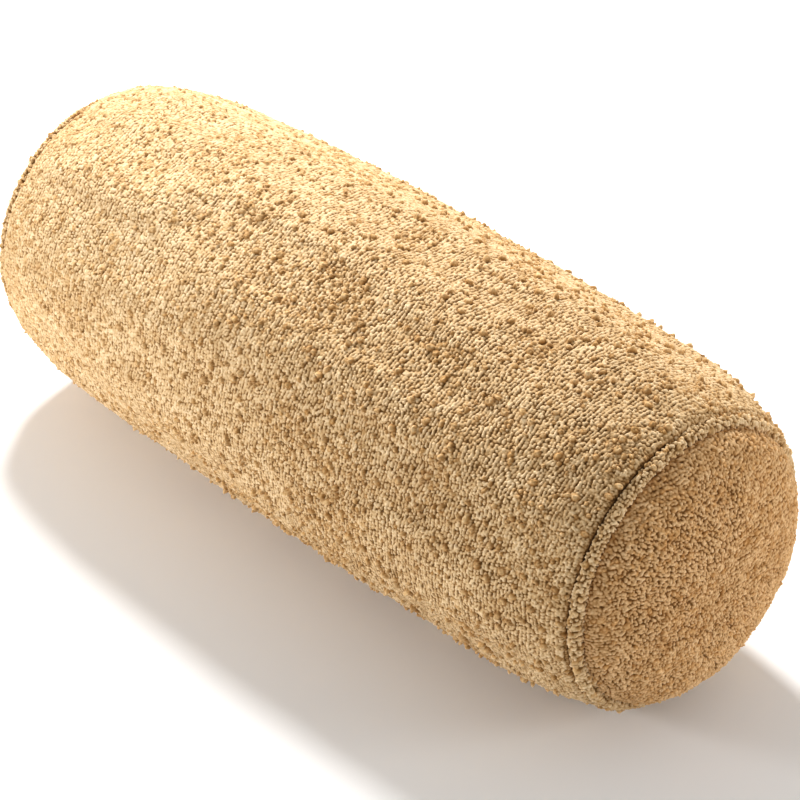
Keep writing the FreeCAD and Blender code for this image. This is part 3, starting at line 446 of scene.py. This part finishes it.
def softened(move, row_at, col_at):
    """The moves at the finer grid's places, which are shares of the coarse one. They wrap round the axis."""
    rows, cols = move.shape[:2]
    return sample(move, row_at * (rows - 1), col_at * cols % cols, wrap=True)


# ---------------------------------------------------------------- knit pieces
BARREL_ROWS, BARREL_COLS = 1080, 1300
LIP_COLS, LIP_TURN = 13, 9  # a lip's columns, and how many of them make its half turn
LIP_STEP = 0.5 * MM
RING_COLS = 1150


def turned_under(edge, beside, out):
    """A lip of the knit: half a turn of LIP_RADIUS, then a little way back.

    beside is the line of points next to the edge, and out the normals at the edge.
    """
    inward = edge - beside
    inward /= np.linalg.norm(inward, axis=-1, keepdims=True)
    strip = []
    for k in range(1, LIP_COLS + 1):
        a = min(k / LIP_TURN, 1) * math.pi
        bend = LIP_RADIUS * (out * math.cos(a) + inward * math.sin(a))
        strip.append(edge - out * LIP_RADIUS + bend - inward * (max(k - LIP_TURN, 0) * LIP_STEP))
    return np.stack(strip, 1)


def gathers(s, angle):
    """Moves toward the axis: the knit gathers in shallow creases near its end seams."""
    from_end = CLOTH_HALF - np.abs(s)
    gather = smooth_step(-50 * MM, -14 * MM, -from_end) * smooth_step(7 * MM, 14 * MM, from_end)
    crease = noise(0.3 * s + 0 * angle, angle * RADIUS, 13 * MM, 91)
    inward = -np.stack([0 * angle, np.cos(ZIP_ANGLE + angle), np.sin(ZIP_ANGLE + angle)], -1)
    return inward * (1.3 * MM * gather * np.clip(crease, 0, 1))[..., None]


def barrel_knit():
    """The cover's barrel: one width of knit round the filling, its two edges turned under along the zip."""
    row = np.linspace(0, 1, BARREL_ROWS)[:, None]
    col = np.linspace(0, 1, BARREL_COLS)[None, :]
    s = (2 * row - 1) * CLOTH_HALF
    x = np.interp(np.abs(s), profile_s, profile_x)
    r = np.interp(np.abs(s), profile_s, profile_r)
    half_slot = SLOT_HALF * (1 - smooth_step(ZIP_END, ZIP_END + 6 * MM, x)) + SHUT_HALF + LIP_RADIUS
    edge = half_slot / np.minimum(r, ZIP_PLANE)
    angle = edge + col * (2 * np.pi - 2 * edge)
    spots = barrel_form(np.repeat(s, BARREL_COLS, 1), ZIP_ANGLE + angle)
    spots = spots + softened(barrel_move, np.repeat(row, BARREL_COLS, 1), angle / (2 * np.pi))
    spots = spots + gathers(s, angle)
    out = outward_normals(spots)
    first = turned_under(spots[:, 0], spots[:, 1], out[:, 0])
    last = turned_under(spots[:, -1], spots[:, -2], out[:, -1])
    full = np.concatenate([first[:, ::-1], spots, last], 1)

    rows, cols = full.shape[:2]
    cloth_p = np.repeat(s, cols, 1)
    step = 2 * np.pi * RADIUS / BARREL_COLS
    cloth_q = np.repeat((np.arange(cols)[None, :] - LIP_COLS) * step, rows, 0)
    fuzzy = np.abs(cloth_p) + 14 * MM * noise(cloth_p, cloth_q, 30 * MM, 71)
    ribbed = 0.82 - 0.35 * smooth_step(160 * MM, 205 * MM, fuzzy)
    lively = 0.42 + 0.5 * smooth_step(-190 * MM, 120 * MM, cloth_p)
    calm = 1 - smooth_step(0.5, 1.0, lively)
    height, open_painted_shade, nub, tone = boucle(cloth_p, cloth_q, ribbed, 100, lively, calm)

    # the pile is pressed down in the end seams and where the tapes are stitched on, and there its colour is
    # darkened as painted shade, in the end seams most where the groove by the piping opens
    seam = smooth_step(4.5 * MM, 8 * MM, CLOTH_HALF - np.abs(cloth_p))
    shut = 0.75 * (1 - groove(ZIP_ANGLE + cloth_q / RADIUS))
    seam = seam + (1 - seam) * shut
    from_edge = np.minimum(cloth_q, 2 * np.pi * RADIUS - 2 * edge * RADIUS - cloth_q)
    beside = np.abs(cloth_p) < ZIP_END + 4 * MM
    stitched = np.exp(-(((from_edge - STITCH_ROW + 5.6 * MM) / (0.9 * MM)) ** 2)) * beside
    pressed = (1 - 0.6 * smooth_step(-3.5 * MM, -0.5 * MM, -from_edge)) * (1 - 0.75 * stitched)
    open_painted_shade = open_painted_shade * (0.1 + 0.9 * seam) * (1 - 0.3 * stitched)
    full = full + outward_normals(full) * (height * pressed * (0.3 + 0.7 * seam))[..., None]
    full[..., 2] = np.maximum(full[..., 2], 0.15 * MM)
    u, v = np.meshgrid(np.linspace(0.005, 0.995, rows), np.linspace(0.005, 0.995, cols), indexing="ij")
    return make_mesh(
        "cover_barrel_knit",
        full.reshape(-1, 3),
        grid_faces(rows, cols)[:, ::-1],
        {"open": open_painted_shade, "nub": nub, "tone": tone},
        np.stack([v, u], -1).reshape(-1, 2),
    )


def end_knit(name, side, move, seed):
    """An end panel: a round of the same knit, its curls lying every way."""
    rings = 210
    fine = np.linspace(0, 1, 4000)
    line = end_form(fine * PANEL_RING, 0.0, NEAR)
    along = np.r_[0, np.cumsum(np.linalg.norm(np.diff(line, axis=0), axis=1))]
    t = np.interp(np.linspace(0.3 * MM, along[-1], rings), along, fine)
    ring, around = np.meshgrid(t, np.arange(RING_COLS) / RING_COLS, indexing="ij")
    angle = around * 2 * np.pi
    spots = end_form(ring * PANEL_RING, ZIP_ANGLE + angle, side)
    at = np.clip((ring - FIRST_RING) / (1 - FIRST_RING), 0, 1)
    spots = spots + softened(move, at, around) * smooth_step(0.0, 0.3, ring)[..., None]
    reach = np.interp(ring, fine, along)
    p, q = reach * np.cos(angle), reach * np.sin(angle)
    ribbed = 0.5 * smooth_step(-0.2, 0.6, noise(p, q, 35 * MM, seed + 50))
    height, open_painted_shade, nub, tone = boucle(q, p, ribbed, seed, lively=0.5, calm=0.0)
    n = normals_of(spots, wrap=True)
    n *= np.sign(n[:1, :, :1] * side)
    n[0] = (side, 0, 0)
    # rim falls to 0 over the last 5 mm before the seam: there the pile is lower, and its colour is darkened
    # as painted shade
    rim = smooth_step(0, 5 * MM, along[-1] - reach)
    spots = spots + n * (height * (0.4 + 0.6 * rim))[..., None]
    uv = 0.5 + 0.49 * np.stack([ring * np.cos(angle), ring * np.sin(angle)], -1)
    faces = grid_faces(rings, RING_COLS, wrap=True)
    return make_mesh(
        name,
        spots.reshape(-1, 3),
        faces if side == NEAR else faces[:, ::-1],
        {"open": open_painted_shade * (0.5 + 0.5 * rim), "nub": nub, "tone": tone},
        uv.reshape(-1, 2),
    )


def ring_grid(rows):
    """A thick ring's grid: angles round its section and round the axis, and its faces."""
    turn, around = np.meshgrid(
        np.linspace(0, 2 * np.pi, rows, endpoint=False), np.arange(RING_COLS) / RING_COLS, indexing="ij"
    )
    faces = grid_faces(rows + 1, RING_COLS, wrap=True) % (rows * RING_COLS)
    return turn, around * 2 * np.pi, faces


def welt_knit(name, side, seed):
    """The piping: a bias strip of the knit wrapped over its cord, sewn between barrel and end panel."""
    turn, angle, faces = ring_grid(46)
    spots = welt_form(turn, angle, side)
    n = spots - spots.mean(0, keepdims=True)
    n /= np.linalg.norm(n, axis=-1, keepdims=True)
    p, q = turn * WELT_RADIUS, angle * WELT_RING
    height, open_painted_shade, nub, tone = boucle(p, q, np.zeros_like(p), seed, lively=0.6, calm=0.0)
    # the strip sinks into the seam on both of its sides, and pinches in where its ends meet; there its
    # colour is darkened as painted shade, most where the groove opens
    lean = np.angle(np.exp(1j * (turn - 0.85)))
    sunk = smooth_step(1.25, 1.75, np.abs(lean)) * (0.4 + 0.6 * groove(angle))
    from_join = np.abs(angle - WELT_JOIN) * WELT_RING
    join = np.exp(-((from_join / (0.8 * MM)) ** 2))
    swell = 0.3 * MM * noise(q * 0 + 1 * MM, q, 20 * MM, seed + 60)
    spots = spots + n * (1.1 * height * (1 - 0.6 * sunk) + swell - 0.9 * MM * join)[..., None]
    open_painted_shade = open_painted_shade * (1 - 0.8 * sunk) * (1 - 0.7 * join)
    return make_mesh(
        name,
        spots.reshape(-1, 3),
        faces if side == FAR else faces[:, ::-1],
        {"open": open_painted_shade, "nub": nub, "tone": tone},
    )


# ---------------------------------------------------------------- the zip, laid out in its own frame
def zip_place(x, down, deep):
    """Points at x along the zip, down across it, and deep under the flattened face of the cover."""
    x, down, deep = np.broadcast_arrays(x, down, deep)
    along = x[..., None] * np.array([1, 0, 0])
    return axis_point + along + down[..., None] * zip_down + (ZIP_PLANE - deep)[..., None] * zip_out


def strand(name, path, radius, reference, sides=8):
    """A round strand along a path, closed at its ends. reference is never in line with the path."""
    ahead = np.gradient(path, axis=0)
    ahead /= np.linalg.norm(ahead, axis=-1, keepdims=True)
    first = reference - (ahead @ reference)[:, None] * ahead
    first /= np.linalg.norm(first, axis=-1, keepdims=True)
    second = np.cross(ahead, first)
    width = np.full((len(path), 1, 1), radius)
    width[[0, -1]] = 0.01 * MM
    turn = np.linspace(0, 2 * np.pi, sides, endpoint=False)[None, :, None]
    points = path[:, None] + width * (np.cos(turn) * first[:, None] + np.sin(turn) * second[:, None])
    return make_mesh(name, points.reshape(-1, 3), grid_faces(len(path), sides, wrap=True))


def squared(t, power):
    """A wave like a sine, with flatter tops the lower the power."""
    return np.sign(np.sin(t)) * np.abs(np.sin(t)) ** power


def coil_row(name, sign):
    """One row of the chain: a nylon coil, its turns squared off round their cord."""
    wire, squareness = 0.36 * MM, 0.7
    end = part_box("zip_coil_lower")[1].x - wire
    turns = int(2 * end / COIL_PITCH)
    t = np.linspace(0, turns * 2 * np.pi, turns * 16) + (0 if sign > 0 else np.pi)
    down = sign * (COIL_MIDDLE + (COIL_WIDTH / 2 - wire) * squared(t + np.pi / 2, squareness))
    deep = COIL_DEPTH + (COIL_THICK / 2 - wire) * squared(t, squareness)
    return strand(name, zip_place(np.linspace(-end, end, len(t)), down, deep), wire, np.array([1.0, 0, 0]))


def cloth_strip(name, x, across, place, thread):
    """A strip of woven cloth. place gives the points at x along it and at those distances across it."""
    xs, ways = np.meshgrid(x, across, indexing="ij")
    wrap = np.allclose(across[0], across[-1])
    facts = {"warp": ways / thread, "weft": xs / thread}
    return make_mesh(name, place(xs, ways).reshape(-1, 3), grid_faces(*xs.shape, wrap=wrap), facts)


def zip_tape(name, sign):
    """A woven tape, sewn under the turned edge of the knit."""
    end = tape_high.x
    face = np.linspace(*TAPE_SPAN, 24)
    across = np.r_[face, face[::-1]]
    deep = np.repeat(TAPE_DEPTHS, len(face))

    def place(x, ways):
        return zip_place(x, sign * ways, deep)

    return cloth_strip(name, np.linspace(-end, end, 500), across, place, 0.6 * MM)


def stitch_row(name, sign):
    """The lockstitch that holds a tape: on the knit for one stitch, under the tape for the next."""
    stitches = 2 * ZIP_END / (3 * MM)
    t = np.linspace(0, stitches * np.pi, int(stitches) * 9)
    deep = 1.75 * MM - 2.0 * MM * squared(t, 0.3)
    path = zip_place(np.linspace(-ZIP_END, ZIP_END, len(t)), sign * STITCH_ROW, deep)
    return strand(name, path, 0.27 * MM, zip_down, sides=6)


def bartack(name, side):
    """A close zigzag of thread across the end of the zip."""
    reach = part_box("zip_bartacks")[1].x
    count = 44
    t = np.linspace(0, 1, count)
    wide = np.where(np.arange(count) % 2, 0.3 * MM, 1.5 * MM)
    deep = -0.36 * MM + 0.05 * MM * np.sin(9 * t)
    path = zip_place(side * (reach - wide), (2 * t - 1) * 5.1 * MM, deep)
    return strand(name, path, 0.28 * MM, zip_out, sides=6)


def woven_label(name):
    """A blank label, caught by its upper edge in the zip's stitching."""
    low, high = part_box("care_label")

    def place(x, ways):
        hang = 0.35 * MM * np.sin((x - low.x) / 9 / MM) * smooth_step(3 * MM, 18 * MM, ways)
        return zip_place(x, STITCH_ROW - 2 * MM + ways, LABEL_DEPTH + hang)

    across = np.linspace(0, LABEL_WIDTH, 40)
    return cloth_strip(name, np.linspace(low.x, high.x, 90), across, place, 0.35 * MM)


# ---------------------------------------------------------------- inside the cover
def filler_cord(name, side):
    """The piping's cord: three soft cotton plies laid round each other."""
    plies, twists = 3, 70
    turn, angle, faces = ring_grid(18)
    surface = welt_form(turn, angle, side)
    centre = surface.mean(0, keepdims=True)
    lay = np.abs(np.cos(0.5 * plies * (turn + twists * angle / plies)))
    points = centre + (surface - centre) * (0.62 * (0.8 + 0.2 * lay))[..., None]
    facts = {"warp": 8 * turn, "weft": 100 * angle / np.pi}
    return make_mesh(name, points.reshape(-1, 3), faces if side == FAR else faces[:, ::-1], facts)


def behind_zip(points, face=CASING_FACE):
    """The points, pressed flat behind the zip where they stand out past that face."""
    over = (points - axis_point) @ zip_out - face
    return points - soft_excess(over, 1 * MM)[..., None] * zip_out


def casing_barrel(name):
    """The insert's cotton tube, puckered where it is gathered into its end seams."""
    rows, cols = 240, 360
    s = np.linspace(-1, 1, rows) * CLOTH_HALF
    angle = np.arange(cols) / cols * 2 * np.pi
    grid = np.meshgrid(s, angle, indexing="ij")
    form = barrel_form(*grid)
    inward = axis_point - form
    inward[..., 0] = 0
    reach = np.linalg.norm(inward, axis=-1, keepdims=True)
    from_end = CLOTH_HALF - np.abs(grid[0])
    pucker = 0.5 * MM * np.sin(grid[1] * 60) * smooth_step(-30 * MM, -3 * MM, -from_end)
    crease = 0.5 * MM * noise(grid[0], grid[1] * RADIUS, 30 * MM, 801)
    form = form + inward / reach * (CASING_GAP + 0.9 * MM + pucker + crease)[..., None]
    form[..., 0] *= CASING_END / HALF_BARREL
    facts = {"warp": grid[0] / THREAD, "weft": grid[1] * RADIUS / THREAD}
    return make_mesh(name, behind_zip(form).reshape(-1, 3), grid_faces(rows, cols, wrap=True), facts)


def casing_end(name, side):
    """An end of the insert's casing: a round of cotton, domed by the fibre behind it."""
    rings, cols = 60, 240
    ring, angle = np.meshgrid(
        np.linspace(0.01, 1, rings), np.arange(cols) / cols * 2 * np.pi, indexing="ij"
    )
    rho = ring * (CASING_RING - 0.3 * MM)
    rise = np.sqrt(CASING_DOME**2 - rho**2) - math.sqrt(CASING_DOME**2 - CASING_RING**2)
    pucker = 0.35 * MM * np.sin(angle * 60) * smooth_step(0.75, 0.97, ring)
    x = CASING_END + rise - 0.5 * MM + pucker
    points = np.stack([side * x, rho * np.cos(angle), AXIS_Z + rho * np.sin(angle)], -1)
    faces = grid_faces(rings, cols, wrap=True)
    facts = {"warp": rho * np.cos(angle) / THREAD, "weft": rho * np.sin(angle) / THREAD}
    return make_mesh(name, points.reshape(-1, 3), faces if side == NEAR else faces[:, ::-1], facts)


def fibre_mass(name):
    """The filling: one lumpy mass of loose fibre that takes the casing's shape from inside."""
    rows, cols = 200, 260
    t = np.linspace(-1, 1, rows)
    angle = np.arange(cols) / cols * 2 * np.pi
    end = CASING_END + CASING_DOME - math.sqrt(CASING_DOME**2 - CASING_RING**2) - 1.6 * MM
    x = end * np.sin(t * np.pi / 2)
    past = np.clip(np.abs(x) - CASING_END + 8 * MM, 0, None) / (end - CASING_END + 8 * MM)
    inset = CASING_GAP + 2.2 * MM + END_GIVE + CROWN_GIVE
    tube_radius = np.interp(np.abs(x), profile_x, profile_r) - inset
    dome_radius = (CASING_RING + 4 * MM) * np.sqrt(np.clip(1 - past**2, 0, 1))
    radius = np.where(past > 0, np.minimum(tube_radius, dome_radius), tube_radius)
    grid_x, grid_angle = np.meshgrid(x, angle, indexing="ij")
    clump = 0.6 * MM * noise(grid_x, grid_angle * RADIUS, 11 * MM, 811)
    clump += 0.3 * MM * noise(grid_x, grid_angle * RADIUS, 4 * MM, 812)
    clump *= smooth_step(0, 20 * MM, radius)[:, None]
    r = np.maximum(radius[:, None] - 0.6 * MM + clump, 0.05 * MM)
    points = behind_zip(np.stack([grid_x, r * np.cos(grid_angle), AXIS_Z + r * np.sin(grid_angle)], -1))
    points = behind_zip(points, CASING_FACE - 1.6 * MM)
    points[..., 2] = np.maximum(points[..., 2], 5.4 * MM)
    return make_mesh(name, points.reshape(-1, 3), grid_faces(rows, cols, wrap=True))


# ---------------------------------------------------------------- materials
def new_material(name):
    """A material, its node tree and its surface shader."""
    material = bpy.data.materials.new(name)
    material.use_nodes = True
    tree = material.node_tree
    tree.nodes.clear()
    out = tree.nodes.new("ShaderNodeOutputMaterial")
    shader = tree.nodes.new("ShaderNodeBsdfPrincipled")
    tree.links.new(shader.outputs[0], out.inputs[0])
    return material, tree, shader


def node(tree, kind, inputs=None, **settings):
    """A node with those settings; inputs gives each input a value or an output to link from."""
    n = tree.nodes.new(kind)
    for key, value in settings.items():
        setattr(n, key, value)
    for key, value in (inputs or {}).items():
        if isinstance(value, bpy.types.NodeSocket):
            tree.links.new(value, n.inputs[key])
        else:
            n.inputs[key].default_value = value
    return n


def ramp(tree, value, stops):
    """The colour at value, from stops of place and colour."""
    n = node(tree, "ShaderNodeValToRGB", {"Fac": value})
    while len(n.color_ramp.elements) < len(stops):
        n.color_ramp.elements.new(0.5)
    for element, (place, colour) in zip(n.color_ramp.elements, stops):
        element.position = place
        element.color = (*colour, 1)
    return n.outputs["Color"]


def mix(tree, factor, a, b, blend="MIX"):
    """The colour a blended with the colour b by factor."""
    n = node(tree, "ShaderNodeMix", data_type="RGBA", blend_type=blend)
    for index, value in ((0, factor), (6, a), (7, b)):
        if isinstance(value, bpy.types.NodeSocket):
            tree.links.new(value, n.inputs[index])
        else:
            n.inputs[index].default_value = value if index == 0 else (*value, 1)
    return n.outputs[2]


def sums(tree, kind, a, b=None, c=None):
    """The result of one math node on one to three values."""
    n = node(tree, "ShaderNodeMath", operation=kind)
    for index, value in enumerate(v for v in (a, b, c) if v is not None):
        if isinstance(value, bpy.types.NodeSocket):
            tree.links.new(value, n.inputs[index])
        else:
            n.inputs[index].default_value = value
    return n.outputs[0]


def knit_material(name, tint_and_painted_shade):
    """Wheat-coloured boucle, golden on the nubs: pale where the yarn stands up, with painted shade in the
    gaps and round the nubs.
    """
    material, tree, shader = new_material(name)
    place = node(tree, "ShaderNodeTexCoord").outputs["Object"]

    def spots(scale, detail=2.0, rough=0.5):
        return node(
            tree,
            "ShaderNodeTexNoise",
            {"Vector": place, "Scale": scale, "Detail": detail, "Roughness": rough},
        ).outputs["Fac"]

    open_painted_shade = node(tree, "ShaderNodeAttribute", attribute_name="open").outputs["Fac"]
    nub = node(tree, "ShaderNodeAttribute", attribute_name="nub").outputs["Fac"]
    tone = node(tree, "ShaderNodeAttribute", attribute_name="tone").outputs["Fac"]
    fibre = spots(2600, 3.0, 0.7)
    height = sums(tree, "ADD", open_painted_shade, sums(tree, "MULTIPLY_ADD", fibre, 0.5, -0.25))
    # the ramps turn the openness into colour: their dark low ends are painted shade in the gaps and at the
    # nubs' edges
    ground = ramp(
        tree,
        height,
        (
            (0.0, (0.06, 0.026, 0.005)),
            (0.28, (0.31, 0.165, 0.052)),
            (0.58, (0.62, 0.425, 0.215)),
            (1.0, (0.84, 0.65, 0.40)),
        ),
    )
    golden = ramp(
        tree,
        height,
        (
            (0.0, (0.08, 0.030, 0.005)),
            (0.4, (0.43, 0.220, 0.062)),
            (0.75, (0.67, 0.425, 0.180)),
            (1.0, (0.82, 0.595, 0.320)),
        ),
    )
    colour = mix(tree, sums(tree, "MULTIPLY", nub, 0.85), ground, golden)
    patch = spots(38, 3.0, 0.6)
    colour = mix(
        tree,
        1.0,
        colour,
        ramp(tree, patch, ((0.3, (0.93, 0.90, 0.86)), (0.7, (1.05, 1.06, 1.08)))),
        "MULTIPLY",
    )
    # a tint over all; for the end panels it is painted shade, darker and warmer
    colour = mix(tree, 1.0, colour, tint_and_painted_shade, "MULTIPLY")
    own = ramp(
        tree,
        sums(tree, "MULTIPLY_ADD", tone, 0.5, 0.5),
        ((0.0, (0.90, 0.85, 0.76)), (0.5, (1.0, 1.0, 1.0)), (1.0, (1.06, 1.08, 1.10))),
    )
    colour = mix(tree, 1.0, colour, own, "MULTIPLY")
    tree.links.new(colour, shader.inputs["Base Color"])
    rough = sums(tree, "MULTIPLY_ADD", fibre, 0.12, 0.84)
    tree.links.new(rough, shader.inputs["Roughness"])
    bump = node(
        tree,
        "ShaderNodeBump",
        {"Strength": 0.5, "Distance": 0.0002, "Height": spots(3800, 2.0, 0.6)},
    )
    tree.links.new(bump.outputs[0], shader.inputs["Normal"])
    shader.inputs["Specular IOR Level"].default_value = 0.15
    shader.inputs["Sheen Weight"].default_value = 0.12
    shader.inputs["Sheen Roughness"].default_value = 0.5
    shader.inputs["Sheen Tint"].default_value = (1.0, 0.86, 0.66, 1)
    return material


def speckled_material(name, low, high, scale, rough, relief, metallic=0.0, stretch=(1, 1, 1)):
    """Two tones of one colour mottled together at that scale, with their relief."""
    material, tree, shader = new_material(name)
    place = node(tree, "ShaderNodeTexCoord").outputs["Object"]
    place = node(tree, "ShaderNodeMapping", {"Vector": place, "Scale": stretch}).outputs[0]
    grain = node(
        tree, "ShaderNodeTexNoise", {"Vector": place, "Scale": scale, "Detail": 4.0, "Roughness": 0.6}
    ).outputs["Fac"]
    tree.links.new(ramp(tree, grain, ((0.3, low), (0.7, high))), shader.inputs["Base Color"])
    tree.links.new(sums(tree, "MULTIPLY_ADD", grain, 0.2, rough - 0.1), shader.inputs["Roughness"])
    bump = node(tree, "ShaderNodeBump", {"Strength": relief, "Distance": 0.0002, "Height": grain})
    tree.links.new(bump.outputs[0], shader.inputs["Normal"])
    shader.inputs["Metallic"].default_value = metallic
    return material


def woven_material(name, low, high, rough):
    """A plain weave: its two sets of threads, counted by warp and weft, pass over and under each other."""
    material, tree, shader = new_material(name)
    waves = []
    for way in ("warp", "weft"):
        count = node(tree, "ShaderNodeAttribute", attribute_name=way).outputs["Fac"]
        waves.append(sums(tree, "SINE", sums(tree, "MULTIPLY", count, math.pi)))
    over = sums(tree, "MULTIPLY_ADD", sums(tree, "MULTIPLY", *waves), 0.5, 0.5)
    place = node(tree, "ShaderNodeTexCoord").outputs["Object"]
    slub = node(tree, "ShaderNodeTexNoise", {"Vector": place, "Scale": 900.0, "Detail": 3.0}).outputs["Fac"]
    height = sums(tree, "MULTIPLY_ADD", slub, 0.5, sums(tree, "MULTIPLY", over, 0.7))
    tree.links.new(ramp(tree, height, ((0.25, low), (0.8, high))), shader.inputs["Base Color"])
    tree.links.new(sums(tree, "MULTIPLY_ADD", slub, 0.1, rough - 0.05), shader.inputs["Roughness"])
    bump = node(tree, "ShaderNodeBump", {"Strength": 0.6, "Distance": 0.0002, "Height": height})
    tree.links.new(bump.outputs[0], shader.inputs["Normal"])
    return material


def paint(obj, material):
    """The object, with that material and no other."""
    obj.data.materials.clear()
    obj.data.materials.append(material)
    return obj


knit = knit_material("boucle_knit", (1.01, 0.972, 0.94))
# the end panels take the same boucle with painted shade: darker and warmer, as they face away from the key
# light
end_pile_painted_shade = knit_material("boucle_knit_end_painted_shade", (0.98, 0.845, 0.725))

barrel = paint(barrel_knit(), knit)
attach(barrel, "cover")
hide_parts("cover_barrel")
for side, word, move, seed in ((NEAR, "near", near_move, 300), (FAR, "far", far_move, 400)):
    panel = paint(end_knit(f"cover_end_{word}_knit", side, move, seed), end_pile_painted_shade)
    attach(panel, "cover")
    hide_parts(f"cover_end_{word}")
    welt = paint(welt_knit(f"welt_{word}_knit", side, seed + 30), knit)
    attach(welt, "cover")
    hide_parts(f"welt_strip_{word}")


def stand_for(piece, material, slot, *nodes):
    """The piece takes that material, rides with the cover and stands for the nodes."""
    paint(piece, material)
    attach(piece, "cover")
    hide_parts(*nodes)
    return piece


cord_material = woven_material("cotton_cord", (0.70, 0.66, 0.56), (0.90, 0.87, 0.79), 0.9)
tape_material = woven_material("zip_tape_weave", (0.30, 0.19, 0.09), (0.56, 0.39, 0.21), 0.8)
label_material = woven_material("label_satin", (0.76, 0.74, 0.69), (0.90, 0.89, 0.85), 0.55)
casing_material = woven_material("casing_cotton", (0.74, 0.73, 0.69), (0.92, 0.91, 0.88), 0.85)
coil_material = speckled_material("nylon_coil", (0.42, 0.29, 0.14), (0.52, 0.37, 0.19), 700, 0.38, 0.15)
thread_material = speckled_material(
    "sewing_thread", (0.34, 0.21, 0.09), (0.60, 0.42, 0.22), 2400, 0.7, 0.6, stretch=(0.4, 1, 1)
)
brass_material = speckled_material(
    "antique_brass", (0.36, 0.24, 0.10), (0.62, 0.45, 0.22), 420, 0.36, 0.25, metallic=1.0
)
fibre_material = speckled_material(
    "loose_fibre", (0.80, 0.80, 0.79), (0.95, 0.95, 0.94), 500, 0.95, 1.0, stretch=(0.3, 1, 1)
)

for side, word in ((NEAR, "near"), (FAR, "far")):
    stand_for(filler_cord(f"welt_{word}_filler", side), cord_material, "cord", f"welt_cord_{word}")
    end = casing_end(f"insert_{word}_cotton", side)
    stand_for(end, casing_material, "casing", f"insert_casing_end_{word}")
for sign, word in ((-1, "upper"), (1, "lower")):
    stand_for(zip_tape(f"tape_{word}_weave", sign), tape_material, "zip_tape", f"zip_tape_{word}")
    stand_for(coil_row(f"chain_{word}", sign), coil_material, "zip_coil", f"zip_coil_{word}")
    stitches = stitch_row(f"tape_{word}_stitches", sign)
    stand_for(stitches, thread_material, "thread", f"zip_stitching_{word}")
for side, word in ((NEAR, "near"), (FAR, "far")):
    stand_for(bartack(f"bartack_{word}", side), thread_material, "thread", "zip_bartacks")
care_label = stand_for(woven_label("woven_label"), label_material, "label", "care_label")
tube = stand_for(casing_barrel("insert_barrel_cotton"), casing_material, "casing", "insert_casing_barrel")
filling = stand_for(fibre_mass("fibre_mass"), fibre_material, "fibre", "fibre_filling")

carried_over = {
    "end_seam_thread_near": thread_material,
    "end_seam_thread_far": thread_material,
    "closing_seam_thread_near": thread_material,
    "closing_seam_thread_far": thread_material,
    "insert_seam_thread_near": thread_material,
    "insert_seam_thread_far": thread_material,
    "insert_closing_stitch": thread_material,
    "zip_top_stops": brass_material,
    "zip_bottom_stop": brass_material,
    "zip_slider": brass_material,
    "zip_pull": brass_material,
}
for name, material in carried_over.items():
    bpy.data.objects[name].data.materials[0] = material

# ---------------------------------------------------------------- stage, light and camera
scene = bpy.context.scene
scene.view_settings.view_transform = "Standard"
scene.view_settings.look = "None"

floor = make_mesh(
    "floor",
    np.array([[-6, -6, 0], [6, -6, 0], [6, 6, 0], [-6, 6, 0]], float),
    np.array([[0, 1, 2, 3]]),
)
floor_material, floor_tree, floor_shader = new_material("pale_floor")
floor_shader.inputs["Base Color"].default_value = (0.93, 0.93, 0.93, 1)
floor_shader.inputs["Roughness"].default_value = 0.9
floor_shader.inputs["Specular IOR Level"].default_value = 0.1
paint(floor, floor_material)

world = bpy.data.worlds.new("studio")
scene.world = world
world.use_nodes = True
world.node_tree.nodes["Background"].inputs["Color"].default_value = (1.0, 0.99, 0.97, 1)
world.node_tree.nodes["Background"].inputs["Strength"].default_value = 0.48


def area_light(name, at, size, power, colour=(1, 1, 1)):
    """A round soft light at that place, aimed at the middle of the cushion."""
    data = bpy.data.lights.new(name, "AREA")
    data.shape = "DISK"
    data.size = size
    data.energy = power
    data.color = colour
    obj = bpy.data.objects.new(name, data)
    obj.location = at
    aim = Vector((0, 0, AXIS_Z)) - Vector(at)
    obj.rotation_euler = aim.to_track_quat("-Z", "Y").to_euler()
    scene.collection.objects.link(obj)


area_light("key", (-0.70, 0.44, 1.06), 0.26, 26.2)
area_light("front", (-0.63, -0.75, 0.29), 0.22, 5.4)
area_light("side", (0.85, 0.49, 0.29), 0.3, 2.65, (1.0, 0.97, 0.93))

# the camera looks down past the near end, and a little off the cushion's middle
elevation, azimuth = math.radians(34.1), math.radians(47.4)
distance, off_right, off_up = 1.5565, 10.6 * MM, -10.8 * MM
back = Vector(
    (
        math.sin(azimuth) * math.cos(elevation),
        -math.cos(azimuth) * math.cos(elevation),
        math.sin(elevation),
    )
)
right = Vector((0, 0, 1)).cross(back).normalized()
up = back.cross(right)
camera_data = bpy.data.cameras.new("camera")
camera_data.sensor_width = 36
camera_data.lens = 146.5
camera = bpy.data.objects.new("camera", camera_data)
camera.matrix_world = Matrix((right, up, back)).transposed().to_4x4()
camera.location = Vector((0, 0, AXIS_Z)) + right * off_right + up * off_up + back * distance
camera_data.clip_start, camera_data.clip_end = 0.05, 30
scene.collection.objects.link(camera)
scene.camera = camera
